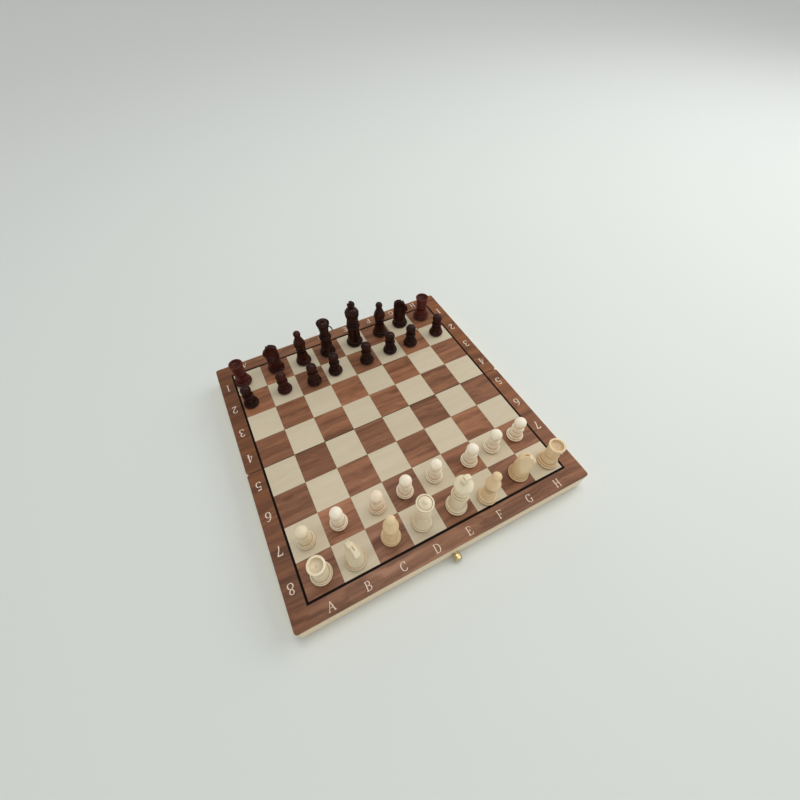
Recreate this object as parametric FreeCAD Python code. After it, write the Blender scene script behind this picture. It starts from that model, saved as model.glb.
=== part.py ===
import FreeCAD, Part
import math
import os

# Folding magnetic chess set: a two-part wooden board that is also the storage box, and 32 turned pieces.
# Millimetres, +Z up. X runs along the files from A to H, Y from rank 8 to rank 1, and the origin is the
# middle of the footprint on the table. The open board lies with its hollow side down.

# Board
SQUARE = 33.4
BORDER = 16.8
BOARD_THICK = 25.0
CORNER_ROUND = 3.0
EDGE_ROUND = 0.4
SEAM_GAP = 0.3
LINE_WIDE = 1.8
VENEER = 0.6
PANEL_THICK = 4.0
STEEL_THICK = 0.4
STEEL_MARGIN = 6.0
RAIL_THICK = 8.0
LINING_THICK = 1.0
FIT_GAP = 0.1

# Hinges between the halves
HINGE_COUNT = 2
HINGE_SPACING = 180.0
LEAF_LONG = 22.0
LEAF_WIDE = 6.4
LEAF_THICK = 0.8
BARREL_RADIUS = 1.25
PIN_RADIUS = 0.65
PIN_GAP = 0.05
KNUCKLE_GAP = 0.15
AXIS_DROP = 0.05
BARREL_ROOM = 0.3
SCREW_SPACING = 13.0
SCREW_RADIUS = 0.8
SCREW_HEAD_RADIUS = 1.5
SCREW_LONG = 7.0

# Clasp: brass knob on the near rail, elastic loop on the far rail
KNOB_HEIGHT = 4.6
KNOB_FLANGE_RADIUS = 3.2
KNOB_FLANGE_THICK = 0.5
KNOB_NECK_RADIUS = 2.4
KNOB_NECK_LONG = 1.3
KNOB_HEAD_RADIUS = 4.1
KNOB_HEAD_LONG = 5.4
KNOB_HEAD_ROUND = 0.8
KNOB_SHANK_RADIUS = 1.2
KNOB_SHANK_LONG = 5.5
LOOP_HEIGHT = 14.0
LOOP_CORD_RADIUS = 0.9
LOOP_ROOT_DEEP = 5.0
LOOP_HOLE_GAP = 0.1
# Half of the loop's route as (sideways, out of the rail, upwards); the other half mirrors it
LOOP_ROUTE = [
    (2.2, -LOOP_ROOT_DEEP, 0.0),
    (2.2, 3.5, 0.0),
    (4.8, 10.5, -0.2),
    (5.0, 17.0, -0.5),
    (2.4, 22.0, -0.8),
]

# What every piece has underneath
FELT_THICK = 1.0
FELT_INSET = 1.2
COLLAR_BULGE = 1.1
MAGNET_RADIUS = 4.5
MAGNET_THICK = 3.0
MAGNET_GAP = 0.1

# Foot moulding that every piece shares
PLINTH_HIGH = 3.2
PLINTH_BULGE = 1.1
RING_STEP = 0.9
RING_HIGH = 2.4
RING_BULGE = 1.1
STEM_STEP = 1.2

# Pawn
PAWN_BASE = 17.0
PAWN_WAIST = 10.0
PAWN_COLLAR = 12.4
PAWN_COLLAR_Z = 15.2
PAWN_COLLAR_HIGH = 2.0
PAWN_UPPER_COLLAR = 11.4
PAWN_UPPER_COLLAR_HIGH = 1.4
PAWN_NECK = 9.2
PAWN_HEAD = 11.8
PAWN_HIGH = 31.0

# Rook
ROOK_BASE = 19.8
ROOK_WAIST = 11.0
ROOK_CUP_Z = 17.0
ROOK_LIP = 13.8
ROOK_LIP_HIGH = 1.8
ROOK_CUP_FOOT = 12.8
ROOK_TOP = 15.6
ROOK_DISH = 11.6
ROOK_DISH_DEEP = 2.8
ROOK_HIGH = 32.4

# Knight
KNIGHT_BASE = 19.6
KNIGHT_HIGH = 39.4
KNIGHT_DRUM = 16.2
KNIGHT_CUSHION_HIGH = 1.6
KNIGHT_MUZZLE_REACH = 9.6
KNIGHT_MUZZLE = 7.0
KNIGHT_RIDGE = 6.6
KNIGHT_SHOULDER_Z = 17.0
KNIGHT_EAR_SLOT = 1.8
KNIGHT_EAR_SLOT_LONG = 6.4
KNIGHT_EAR_DEEP = 2.6

# Bishop
BISHOP_BASE = 18.4
BISHOP_WAIST = 9.2
BISHOP_COLLAR = 12.0
BISHOP_COLLAR_Z = 21.5
BISHOP_COLLAR_HIGH = 2.4
BISHOP_MITRE_FOOT = 9.4
BISHOP_MITRE = 13.8
BISHOP_NECK = 6.0
BISHOP_BALL = 8.4
BISHOP_HIGH = 50.4

# Queen
QUEEN_BASE = 19.2
QUEEN_WAIST = 11.6
QUEEN_COLLAR = 15.0
QUEEN_COLLAR_Z = 26.0
QUEEN_COLLAR_HIGH = 2.8
QUEEN_UPPER_COLLAR = 13.4
QUEEN_UPPER_COLLAR_HIGH = 2.2
QUEEN_NECK = 10.4
QUEEN_CORONET = 15.4
QUEEN_CORONET_Z = 48.4
QUEEN_RIM_HIGH = 1.3
QUEEN_RIM_WIDE = 1.4
QUEEN_DISH_DEEP = 1.2
QUEEN_DOME_HIGH = 2.8
QUEEN_BALL = 4.4
QUEEN_HIGH = 55.2

# King
KING_BASE = 20.4
KING_WAIST = 12.8
KING_COLLAR = 16.4
KING_COLLAR_Z = 27.0
KING_COLLAR_HIGH = 4.4
KING_COLLARS = 3
KING_COLLAR_TAPER = 0.6
KING_NECK = 11.6
KING_CROWN = 16.8
KING_CROWN_Z = 50.4
KING_CROWN_RIM = 14.6
KING_RIM_Z = 52.6
KING_CROSS_SUNK = 2.1
KING_CROSS_ROUND = 0.8
KING_CROSS_NECK = 5.2
KING_CROSS_SPAN = 8.4
KING_CROSS_HIGH = 9.0
KING_CROSS_ARM = 3.0
KING_CROSS_FLARE = 4.6
KING_CROSS_THICK = 4.6
KING_HIGH = 65.6

# How each knight is turned on its square, in degrees from facing the H file
KNIGHT_TURN = {
    "light_knight_b": 104.0,
    "light_knight_g": -28.0,
    "dark_knight_b": 156.0,
    "dark_knight_g": -22.0,
}

# How far each piece stands from the middle of its square, in squares along X and Y
STAND = {
    "light_rook_a": (0.05, -0.02),
    "light_knight_b": (-0.03, -0.09),
    "light_bishop_c": (0.04, 0.01),
    "light_queen": (-0.04, -0.02),
    "light_king": (0.05, -0.05),
    "light_bishop_f": (-0.04, -0.22),
    "light_knight_g": (0.18, -0.05),
    "light_rook_h": (0.20, -0.11),
    "light_pawn_a": (-0.02, -0.07),
    "light_pawn_b": (-0.06, -0.02),
    "light_pawn_c": (0.07, -0.09),
    "light_pawn_d": (-0.03, -0.05),
    "light_pawn_e": (-0.05, -0.02),
    "light_pawn_f": (0.13, -0.07),
    "light_pawn_g": (0.00, 0.01),
    "light_pawn_h": (-0.12, 0.02),
    "dark_rook_a": (-0.19, 0.04),
    "dark_knight_b": (0.03, 0.12),
    "dark_bishop_c": (0.03, -0.02),
    "dark_queen": (-0.02, -0.01),
    "dark_king": (0.07, -0.01),
    "dark_bishop_f": (0.13, -0.01),
    "dark_knight_g": (0.04, 0.09),
    "dark_rook_h": (-0.02, 0.07),
    "dark_pawn_a": (-0.18, -0.01),
    "dark_pawn_b": (0.01, 0.03),
    "dark_pawn_c": (0.05, -0.10),
    "dark_pawn_d": (-0.12, -0.01),
    "dark_pawn_e": (0.09, -0.06),
    "dark_pawn_f": (0.06, -0.01),
    "dark_pawn_g": (-0.10, -0.03),
    "dark_pawn_h": (0.03, 0.00),
}

FILES = "abcdefgh"
BACK_RANK = ["rook", "knight", "bishop", "queen", "king", "bishop", "knight", "rook"]

# Worked-out places
BOARD_LONG = 8 * SQUARE + 2 * BORDER
HALF_DEEP = 4 * SQUARE + BORDER
SEAM_FACE = SEAM_GAP / 2
FIELD_HALF = 4 * SQUARE - LINE_WIDE / 2
RIM_Z = BARREL_RADIUS + AXIS_DROP
AXIS_Z = RIM_Z - AXIS_DROP
TOP_Z = RIM_Z + BOARD_THICK
PANEL_TOP = TOP_Z - VENEER
PANEL_FLOOR = PANEL_TOP - PANEL_THICK
KNOB_REACH = KNOB_FLANGE_THICK + KNOB_NECK_LONG + KNOB_HEAD_LONG
SEAM_Y = KNOB_REACH / 2
X_AXIS = FreeCAD.Vector(1, 0, 0)
Y_AXIS = FreeCAD.Vector(0, 1, 0)
Z_AXIS = FreeCAD.Vector(0, 0, 1)
CENTRE = FreeCAD.Vector(0, 0, 0)


def block(x0, x1, y0, y1, z0, z1):
    return Part.makeBox(x1 - x0, y1 - y0, z1 - z0, FreeCAD.Vector(x0, y0, z0))


def upright_edges(shape, wanted):
    """The vertical edges of a shape whose place passes the test."""
    found = []
    for edge in shape.Edges:
        ends = [vertex.Point for vertex in edge.Vertexes]
        if len(ends) < 2 or edge.BoundBox.ZLength < 1e-6:
            continue
        if ends[0].sub(ends[1]).cross(Z_AXIS).Length < 1e-6 and wanted(ends[0]):
            found.append(edge)
    return found


def rounded_block(x0, x1, y0, y1, z0, z1, wanted=lambda point: True):
    plain = block(x0, x1, y0, y1, z0, z1)
    return plain.makeFillet(CORNER_ROUND, upright_edges(plain, wanted))


def group(solids):
    return solids[0] if len(solids) == 1 else Part.makeCompound(solids)


def turned(profile):
    """Solid of revolution from its half outline: (r, z) is a line, (r, z, r, z) an arc through a point."""
    corners = [FreeCAD.Vector(profile[0][0], 0, profile[0][1])]
    edges = []
    for step in profile[1:]:
        end = FreeCAD.Vector(step[-2], 0, step[-1])
        if end.isEqual(corners[-1], 1e-6):
            continue
        if len(step) == 4:
            through = FreeCAD.Vector(step[0], 0, step[1])
            edges.append(Part.Arc(corners[-1], through, end).toShape())
        else:
            edges.append(Part.LineSegment(corners[-1], end).toShape())
        corners.append(end)
    edges.append(Part.LineSegment(corners[-1], corners[0]).toShape())
    return Part.Face(Part.Wire(edges)).revolve(CENTRE, Z_AXIS, 360)


# One half of the board, with y counted from the seam towards the outer rail


def border_veneer():
    """Walnut frame on three sides of the squares, eased along its outer top edge."""
    plate = rounded_block(-BOARD_LONG / 2, BOARD_LONG / 2, SEAM_FACE, HALF_DEEP, PANEL_TOP, TOP_Z)
    top = [face for face in plate.Faces if abs(face.CenterOfMass.z - TOP_Z) < 1e-6][0]
    outer = [edge for edge in top.Edges if edge.BoundBox.YMax > SEAM_FACE + FIT_GAP]
    window = FIELD_HALF + LINE_WIDE
    return plate.makeFillet(EDGE_ROUND, outer).cut(block(-window, window, 0, window, PANEL_TOP, TOP_Z))


def line_inlay():
    outer = FIELD_HALF + LINE_WIDE
    strip = block(-outer, outer, SEAM_FACE, outer, PANEL_TOP, TOP_Z)
    return strip.cut(block(-FIELD_HALF, FIELD_HALF, 0, FIELD_HALF, PANEL_TOP, TOP_Z))


def squares(dark):
    """Tiles of one colour; the line around the field trims the outer ones."""
    tiles = []
    for file in range(8):
        for row in range(4):
            if ((file + row) % 2 == 0) == dark:
                left = max((file - 4) * SQUARE, -FIELD_HALF)
                right = min((file - 3) * SQUARE, FIELD_HALF)
                start = max(row * SQUARE, SEAM_FACE)
                end = min((row + 1) * SQUARE, FIELD_HALF)
                tiles.append(block(left, right, start, end, PANEL_TOP, TOP_Z))
    return group(tiles)


def steel_sheet(gap=0.0):
    """Thin sheet let into the panel under the squares, which the magnets hold to."""
    half = FIELD_HALF - STEEL_MARGIN + gap
    far = FIELD_HALF - STEEL_MARGIN + gap
    near = STEEL_MARGIN - gap
    return block(-half, half, near, far, PANEL_TOP - STEEL_THICK, PANEL_TOP)


def top_panel():
    plate = rounded_block(-BOARD_LONG / 2, BOARD_LONG / 2, SEAM_FACE, HALF_DEEP, PANEL_FLOOR, PANEL_TOP)
    return plate.cut(steel_sheet(FIT_GAP))


def outer_rail():
    half = BOARD_LONG / 2
    return rounded_block(-half, half, HALF_DEEP - RAIL_THICK, HALF_DEEP, RIM_Z, PANEL_FLOOR,
                         lambda point: abs(point.y - HALF_DEEP) < 1e-6)


def hinge_places():
    first = -HINGE_SPACING * (HINGE_COUNT - 1) / 2
    return [first + HINGE_SPACING * number for number in range(HINGE_COUNT)]


def hinge_cylinder(x0, x1, radius):
    return Part.makeCylinder(radius, x1 - x0, FreeCAD.Vector(x0, 0, AXIS_Z), X_AXIS)


def hinge_screw(x, gap=0.0):
    """Countersunk screw driven up into the rim through a leaf."""
    face = RIM_Z + AXIS_DROP
    head_deep = LEAF_THICK
    point = SCREW_RADIUS + gap
    tip = face + SCREW_LONG + gap
    shape = turned([
        (0, face),
        (SCREW_HEAD_RADIUS + gap, face),
        (point, face + head_deep),
        (point, tip - point),
        (0, tip),
    ])
    shape.translate(FreeCAD.Vector(x, SEAM_FACE + LEAF_WIDE * 0.6, 0))
    return shape


def screw_places():
    return [x + side * SCREW_SPACING / 2 for x in hinge_places() for side in (-1, 1)]


def hinge_screws():
    return group([hinge_screw(x) for x in screw_places()])


def seam_rail():
    """Rail along the fold, with the hinge leaves let into its rim."""
    half = BOARD_LONG / 2
    rail = rounded_block(-half, half, SEAM_FACE, SEAM_FACE + RAIL_THICK, RIM_Z, PANEL_FLOOR,
                         lambda point: abs(point.y - SEAM_FACE) < 1e-6)
    for x in hinge_places():
        reach = LEAF_LONG / 2 + FIT_GAP
        mortise_top = RIM_Z + AXIS_DROP + LEAF_THICK + FIT_GAP
        rail = rail.cut(block(x - reach, x + reach, 0, LEAF_WIDE + FIT_GAP, RIM_Z, mortise_top))
        rail = rail.cut(hinge_cylinder(x - reach, x + reach, BARREL_RADIUS + BARREL_ROOM))
    for x in screw_places():
        rail = rail.cut(hinge_screw(x, FIT_GAP / 2))
    return rail


def side_rails():
    start = SEAM_FACE + RAIL_THICK
    end = HALF_DEEP - RAIL_THICK
    left = block(-BOARD_LONG / 2, RAIL_THICK - BOARD_LONG / 2, start, end, RIM_Z, PANEL_FLOOR)
    right = block(BOARD_LONG / 2 - RAIL_THICK, BOARD_LONG / 2, start, end, RIM_Z, PANEL_FLOOR)
    return group([left, right])


def felt_lining():
    half = BOARD_LONG / 2 - RAIL_THICK - FIT_GAP
    start = SEAM_FACE + RAIL_THICK + FIT_GAP
    end = HALF_DEEP - RAIL_THICK - FIT_GAP
    return block(-half, half, start, end, PANEL_FLOOR - LINING_THICK, PANEL_FLOOR)


def hinge_leaf(x, middle):
    """One leaf with its rolled knuckles: the middle one, or the two outer ones."""
    left = x - LEAF_LONG / 2
    third = LEAF_LONG / 3
    spans = [(left + number * third, left + (number + 1) * third) for number in range(3)]
    own = [spans[1]] if middle else [spans[0], spans[2]]
    other = [spans[0], spans[2]] if middle else [spans[1]]
    low = RIM_Z + AXIS_DROP
    leaf = block(left, left + LEAF_LONG, 0, LEAF_WIDE, low, low + LEAF_THICK)
    for start, end in other:
        room_start = start - KNUCKLE_GAP / 2
        room_end = end + KNUCKLE_GAP / 2
        leaf = leaf.cut(hinge_cylinder(room_start, room_end, BARREL_RADIUS + KNUCKLE_GAP))
    for start, end in own:
        ease_start = KNUCKLE_GAP / 2 if start > left else 0
        ease_end = KNUCKLE_GAP / 2 if end < left + LEAF_LONG - KNUCKLE_GAP else 0
        leaf = leaf.fuse(hinge_cylinder(start + ease_start, end - ease_end, BARREL_RADIUS))
    right = left + LEAF_LONG
    leaf = leaf.cut(hinge_cylinder(left - KNUCKLE_GAP, right + KNUCKLE_GAP, PIN_RADIUS + PIN_GAP))
    for side in (-1, 1):
        leaf = leaf.cut(hinge_screw(x + side * SCREW_SPACING / 2, FIT_GAP / 2))
    return leaf.removeSplitter()


def hinge_leaves(middle):
    return group([hinge_leaf(x, middle) for x in hinge_places()])


def hinge_pins():
    reach = LEAF_LONG / 2
    return group([hinge_cylinder(x - reach, x + reach, PIN_RADIUS) for x in hinge_places()])


# Clasp


def out_of_rail(shape, height):
    """Stand a shape modelled along +Z on the middle of the outer rail, pointing out."""
    shape.rotate(CENTRE, X_AXIS, -90)
    shape.translate(FreeCAD.Vector(0, HALF_DEEP, RIM_Z + height))
    return shape


def knob_shank_hole():
    hole = Part.makeCylinder(KNOB_SHANK_RADIUS + FIT_GAP / 2, KNOB_SHANK_LONG + FIT_GAP,
                             FreeCAD.Vector(0, 0, -KNOB_SHANK_LONG - FIT_GAP))
    return out_of_rail(hole, KNOB_HEIGHT)


def clasp_knob():
    """Turned brass knob: seat against the rail, narrow neck for the loop, drum head with rounded ends."""
    neck_start = KNOB_FLANGE_THICK
    head_start = neck_start + KNOB_NECK_LONG
    head_end = head_start + KNOB_HEAD_LONG
    ease = KNOB_HEAD_ROUND
    slack = ease * (1 - math.sqrt(0.5))
    head = KNOB_HEAD_RADIUS
    knob = turned([
        (0, -KNOB_SHANK_LONG),
        (KNOB_SHANK_RADIUS, -KNOB_SHANK_LONG),
        (KNOB_SHANK_RADIUS, 0),
        (KNOB_FLANGE_RADIUS, 0),
        (KNOB_FLANGE_RADIUS, neck_start),
        (KNOB_NECK_RADIUS, neck_start),
        (KNOB_NECK_RADIUS, head_start),
        (head - ease, head_start),
        (head - slack, head_start + slack, head, head_start + ease),
        (head, head_end - ease),
        (head - slack, head_end - slack, head - ease, head_end),
        (0, head_end),
    ])
    return out_of_rail(knob, KNOB_HEIGHT)


def loop_points():
    """The loop's route from one hole in the rail round to the other."""
    half = [FreeCAD.Vector(x, HALF_DEEP + y, RIM_Z + LOOP_HEIGHT + z) for x, y, z in LOOP_ROUTE]
    return half + [FreeCAD.Vector(-point.x, point.y, point.z) for point in reversed(half)]


def tube(points, radius):
    """A round cord along straight runs joined by arcs as large as the runs allow."""
    edges = []
    start = points[0]
    for before, corner, after in zip(points, points[1:], points[2:]):
        back = before.sub(corner)
        on = after.sub(corner)
        trim = 0.45 * min(back.Length, on.Length)
        turn = math.pi - back.getAngle(on)
        bend = trim / math.tan(turn / 2)
        back.normalize()
        on.normalize()
        middle = FreeCAD.Vector(back + on)
        middle.normalize()
        arc_start = corner + back * trim
        arc_end = corner + on * trim
        through = corner + middle * (bend / math.cos(turn / 2) - bend)
        edges.append(Part.LineSegment(start, arc_start).toShape())
        edges.append(Part.Arc(arc_start, through, arc_end).toShape())
        start = arc_end
        print("cord bend radius %.2f" % bend)
    edges.append(Part.LineSegment(start, points[-1]).toShape())
    path = Part.Wire(edges)
    section = Part.Wire(Part.makeCircle(radius, points[0], points[1].sub(points[0])))
    cord = path.makePipeShell([section], True, False)
    plain = math.pi * radius ** 2 * path.Length
    print("cord volume %.2f, section times length %.2f" % (cord.Volume, plain))
    return cord


def elastic_loop():
    return tube(loop_points(), LOOP_CORD_RADIUS)


def loop_holes():
    holes = []
    for side in (-1, 1):
        place = FreeCAD.Vector(side * LOOP_ROUTE[0][0], HALF_DEEP - LOOP_ROOT_DEEP, RIM_Z + LOOP_HEIGHT)
        radius = LOOP_CORD_RADIUS + LOOP_HOLE_GAP
        holes.append(Part.makeCylinder(radius, LOOP_ROOT_DEEP + FIT_GAP, place, Y_AXIS))
    return group(holes)


# Pieces: half outlines that start on the axis above the felt


def foot(base, waist, waist_z):
    """Plinth, ring and bell: a stem that swells over the ring and draws in to the waist."""
    radius = base / 2
    plinth_top = FELT_THICK + PLINTH_HIGH
    ring = radius - RING_STEP
    ring_top = plinth_top + RING_HIGH
    stem = ring - STEM_STEP
    draw = stem - waist
    rise = waist_z - ring_top
    return [
        (0, FELT_THICK),
        (radius - PLINTH_BULGE, FELT_THICK),
        (radius, FELT_THICK + PLINTH_HIGH / 2, radius - PLINTH_BULGE, plinth_top),
        (ring - RING_BULGE, plinth_top),
        (ring, plinth_top + RING_HIGH / 2, ring - RING_BULGE, ring_top),
        (stem, ring_top),
        (stem - 0.18 * draw, ring_top + 0.30 * rise, stem - 0.55 * draw, ring_top + 0.62 * rise),
        (waist + 0.14 * draw, ring_top + 0.84 * rise, waist, waist_z),
    ]


def collar(diameter, low, high):
    radius = diameter / 2
    return [(radius - COLLAR_BULGE, low), (radius, low + high / 2, radius - COLLAR_BULGE, low + high)]


def ball(diameter, neck, top):
    """A ball on a neck, closing on the axis."""
    radius = diameter / 2
    middle = top - radius
    start = middle - math.sqrt(radius ** 2 - (neck / 2) ** 2)
    return [(neck / 2, start), (radius, middle, 0, top)]


def pawn_body():
    upper_z = PAWN_COLLAR_Z + PAWN_COLLAR_HIGH
    outline = foot(PAWN_BASE, PAWN_WAIST / 2, PAWN_COLLAR_Z)
    outline += collar(PAWN_COLLAR, PAWN_COLLAR_Z, PAWN_COLLAR_HIGH)
    outline += collar(PAWN_UPPER_COLLAR, upper_z, PAWN_UPPER_COLLAR_HIGH)
    outline += [(PAWN_NECK / 2, upper_z + PAWN_UPPER_COLLAR_HIGH)]
    return turned(outline + ball(PAWN_HEAD, PAWN_NECK, PAWN_HIGH))


def rook_body():
    cup_z = ROOK_CUP_Z + ROOK_LIP_HIGH
    outline = foot(ROOK_BASE, ROOK_WAIST / 2, ROOK_CUP_Z)
    outline += collar(ROOK_LIP, ROOK_CUP_Z, ROOK_LIP_HIGH)
    outline += [
        (ROOK_CUP_FOOT / 2, cup_z),
        (ROOK_CUP_FOOT / 2 + 0.3, (cup_z + ROOK_HIGH) / 2, ROOK_TOP / 2, ROOK_HIGH - EDGE_ROUND),
        (ROOK_TOP / 2 - EDGE_ROUND, ROOK_HIGH),
        (ROOK_DISH / 2, ROOK_HIGH),
        (ROOK_DISH / 2, ROOK_HIGH - 0.4 * ROOK_DISH_DEEP),
        (ROOK_DISH * 0.42, ROOK_HIGH - 0.83 * ROOK_DISH_DEEP, ROOK_DISH * 0.3, ROOK_HIGH - ROOK_DISH_DEEP),
        (0, ROOK_HIGH - ROOK_DISH_DEEP),
    ]
    return turned(outline)


def bishop_body():
    mitre_z = BISHOP_COLLAR_Z + BISHOP_COLLAR_HIGH
    ball_start = ball(BISHOP_BALL, BISHOP_NECK, BISHOP_HIGH)[0][1]
    rise = ball_start - mitre_z
    shoulder_z = mitre_z + 0.6 * rise
    shoulder = BISHOP_MITRE / 2 * 0.84
    outline = foot(BISHOP_BASE, BISHOP_WAIST / 2, BISHOP_COLLAR_Z)
    outline += collar(BISHOP_COLLAR, BISHOP_COLLAR_Z, BISHOP_COLLAR_HIGH)
    outline += [
        (BISHOP_MITRE_FOOT / 2, mitre_z),
        (BISHOP_MITRE / 2, mitre_z + 0.34 * rise, shoulder, shoulder_z),
        ((shoulder + BISHOP_NECK / 2) * 0.46, mitre_z + 0.84 * rise, BISHOP_NECK / 2, ball_start),
    ]
    return turned(outline + ball(BISHOP_BALL, BISHOP_NECK, BISHOP_HIGH)[1:])


def queen_body():
    upper_z = QUEEN_COLLAR_Z + QUEEN_COLLAR_HIGH
    neck_z = upper_z + QUEEN_UPPER_COLLAR_HIGH
    rim_z = QUEEN_CORONET_Z + QUEEN_RIM_HIGH
    rim = QUEEN_CORONET / 2
    neck = QUEEN_NECK / 2
    dish = rim - QUEEN_RIM_WIDE
    dish_z = rim_z - QUEEN_DISH_DEEP
    top_ball = ball(QUEEN_BALL, QUEEN_BALL * 0.8, QUEEN_HIGH)
    outline = foot(QUEEN_BASE, QUEEN_WAIST / 2, QUEEN_COLLAR_Z)
    outline += collar(QUEEN_COLLAR, QUEEN_COLLAR_Z, QUEEN_COLLAR_HIGH)
    outline += collar(QUEEN_UPPER_COLLAR, upper_z, QUEEN_UPPER_COLLAR_HIGH)
    outline += [
        (neck, neck_z),
        (neck + 0.22 * (rim - neck), neck_z + 0.55 * (QUEEN_CORONET_Z - neck_z), rim, QUEEN_CORONET_Z),
        (rim, rim_z - EDGE_ROUND),
        (rim - EDGE_ROUND, rim_z),
        (dish, rim_z),
        (dish, dish_z),
        (dish * 0.8, dish_z + 0.62 * QUEEN_DOME_HIGH, top_ball[0][0], top_ball[0][1]),
    ]
    return turned(outline + top_ball[1:])


def king_cross(foot_z):
    """Stubby cross with flared arms, cut from a flat blank."""
    arm = KING_CROSS_ARM / 2
    flare = KING_CROSS_FLARE / 2
    span = KING_CROSS_SPAN / 2
    top = KING_HIGH
    middle = top - KING_CROSS_HIGH * 0.46
    corners = [
        (-flare, foot_z), (flare, foot_z), (arm, middle - arm), (span, middle - flare),
        (span, middle + flare), (arm, middle + arm), (flare, top), (-flare, top),
        (-arm, middle + arm), (-span, middle + flare), (-span, middle - flare), (-arm, middle - arm),
    ]
    wire = Part.makePolygon([FreeCAD.Vector(x, -KING_CROSS_THICK / 2, z) for x, z in corners + corners[:1]])
    cross = Part.Face(wire).extrude(Y_AXIS * KING_CROSS_THICK)
    rim = [edge for edge in cross.Edges if edge.BoundBox.ZMax > foot_z + KING_CROSS_SUNK]
    return cross.makeFillet(KING_CROSS_ROUND, rim)


def king_body():
    neck_z = KING_COLLAR_Z + KING_COLLARS * KING_COLLAR_HIGH
    crown = KING_CROWN / 2
    rim = KING_CROWN_RIM / 2
    dome_top = KING_HIGH - KING_CROSS_HIGH
    outline = foot(KING_BASE, KING_WAIST / 2, KING_COLLAR_Z)
    for number in range(KING_COLLARS):
        low = KING_COLLAR_Z + number * KING_COLLAR_HIGH
        outline += collar(KING_COLLAR - 2 * number * KING_COLLAR_TAPER, low, KING_COLLAR_HIGH)
    outline += [
        (KING_NECK / 2, neck_z),
        (0.62 * crown + 0.19 * KING_NECK, 0.48 * (neck_z + KING_CROWN_Z), crown, KING_CROWN_Z),
        (0.62 * crown + 0.38 * rim, 0.5 * (KING_CROWN_Z + KING_RIM_Z), rim, KING_RIM_Z),
        (rim * 0.8, KING_RIM_Z + 0.56 * (dome_top - KING_RIM_Z), KING_CROSS_NECK / 2, dome_top),
        (0, dome_top),
    ]
    return turned(outline).fuse(king_cross(dome_top - KING_CROSS_SUNK)).removeSplitter()


def rounded_outline(corners):
    """Closed outline in the XZ plane from (x, z, radius) corners, each one rounded by its radius."""
    edges = []
    start = None
    closed = corners[-1:] + corners + corners[:1]
    for before, corner, after in zip(closed, closed[1:], closed[2:]):
        place = FreeCAD.Vector(corner[0], 0, corner[1])
        back = FreeCAD.Vector(before[0], 0, before[1]).sub(place)
        on = FreeCAD.Vector(after[0], 0, after[1]).sub(place)
        turn = math.pi - back.getAngle(on)
        back.normalize()
        on.normalize()
        trim = corner[2] * math.tan(turn / 2)
        middle = FreeCAD.Vector(back + on)
        middle.normalize()
        through = place + middle * (corner[2] / math.cos(turn / 2) - corner[2])
        arc = Part.Arc(place + back * trim, through, place + on * trim)
        if start:
            edges.append(Part.LineSegment(start, arc.StartPoint).toShape())
        edges.append(arc.toShape())
        start = arc.EndPoint
    edges.append(Part.LineSegment(start, edges[0].Vertexes[0].Point).toShape())
    return Part.Wire(edges)


def knight_side(low):
    """Side view of the horse's head, facing +X, from the back of the neck over the ears to the chest."""
    reach = KNIGHT_DRUM / 2
    tall = KNIGHT_HIGH - low
    view = [
        (-0.97, 0.0, 1.2),
        (-0.99, 0.50, 20.0),
        (-0.94, 0.90, 6.0),
        (-0.16, 1.04, 2.6),
        (0.14, 1.00, 1.0),
        (0.26, 0.915, 1.0),
        (0.60, 0.91, 1.6),
        (0.80, 0.775, 2.0),
        (1.16, 0.70, 1.6),
        (1.17, 0.555, 1.3),
        (0.84, 0.48, 1.4),
        (0.80, 0.20, 8.0),
        (0.95, 0.0, 1.2),
    ]
    return [(x * reach, low + share * tall, radius) for x, share, radius in view]


def knight_front(low):
    """Front view of the head: wider than the drum below the shoulder, drawn in to a ridge at the ears."""
    reach = KNIGHT_DRUM / 2
    ridge = KNIGHT_RIDGE / 2
    return [
        (-KNIGHT_DRUM, low, 1.0),
        (-KNIGHT_DRUM, KNIGHT_SHOULDER_Z - reach, 1.0),
        (-reach, KNIGHT_SHOULDER_Z, 6.0),
        (-ridge, KNIGHT_HIGH, 2.2),
        (ridge, KNIGHT_HIGH, 2.2),
        (reach, KNIGHT_SHOULDER_Z, 6.0),
        (KNIGHT_DRUM, KNIGHT_SHOULDER_Z - reach, 1.0),
        (KNIGHT_DRUM, low, 1.0),
    ]


def slab(outline):
    """A long prism with its outline in the XZ plane, centred on that plane."""
    prism = Part.Face(rounded_outline(outline)).extrude(Y_AXIS * 2 * KNIGHT_DRUM)
    prism.translate(Y_AXIS * -KNIGHT_DRUM)
    return prism


def knight_head(low):
    """Carved head: a turned drum and a narrow muzzle cut to the side and front views, with an ear slot."""
    drum = Part.makeCylinder(KNIGHT_DRUM / 2, KNIGHT_HIGH)
    nose_half = KNIGHT_MUZZLE / 2
    nose = block(0, KNIGHT_MUZZLE_REACH, -nose_half, nose_half, low, KNIGHT_HIGH)
    front = slab(knight_front(low))
    front.rotate(CENTRE, Z_AXIS, 90)
    views = slab(knight_side(low)).common(front)
    head = views.common(drum).fuse(views.common(nose))
    slot_floor = KNIGHT_HIGH - KNIGHT_EAR_DEEP
    slot_half = KNIGHT_EAR_SLOT / 2
    slot_reach = KNIGHT_EAR_SLOT_LONG / 2
    slot_top = KNIGHT_HIGH + KNIGHT_EAR_DEEP
    return head.cut(block(-slot_reach, slot_reach, -slot_half, slot_half, slot_floor, slot_top))


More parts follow.
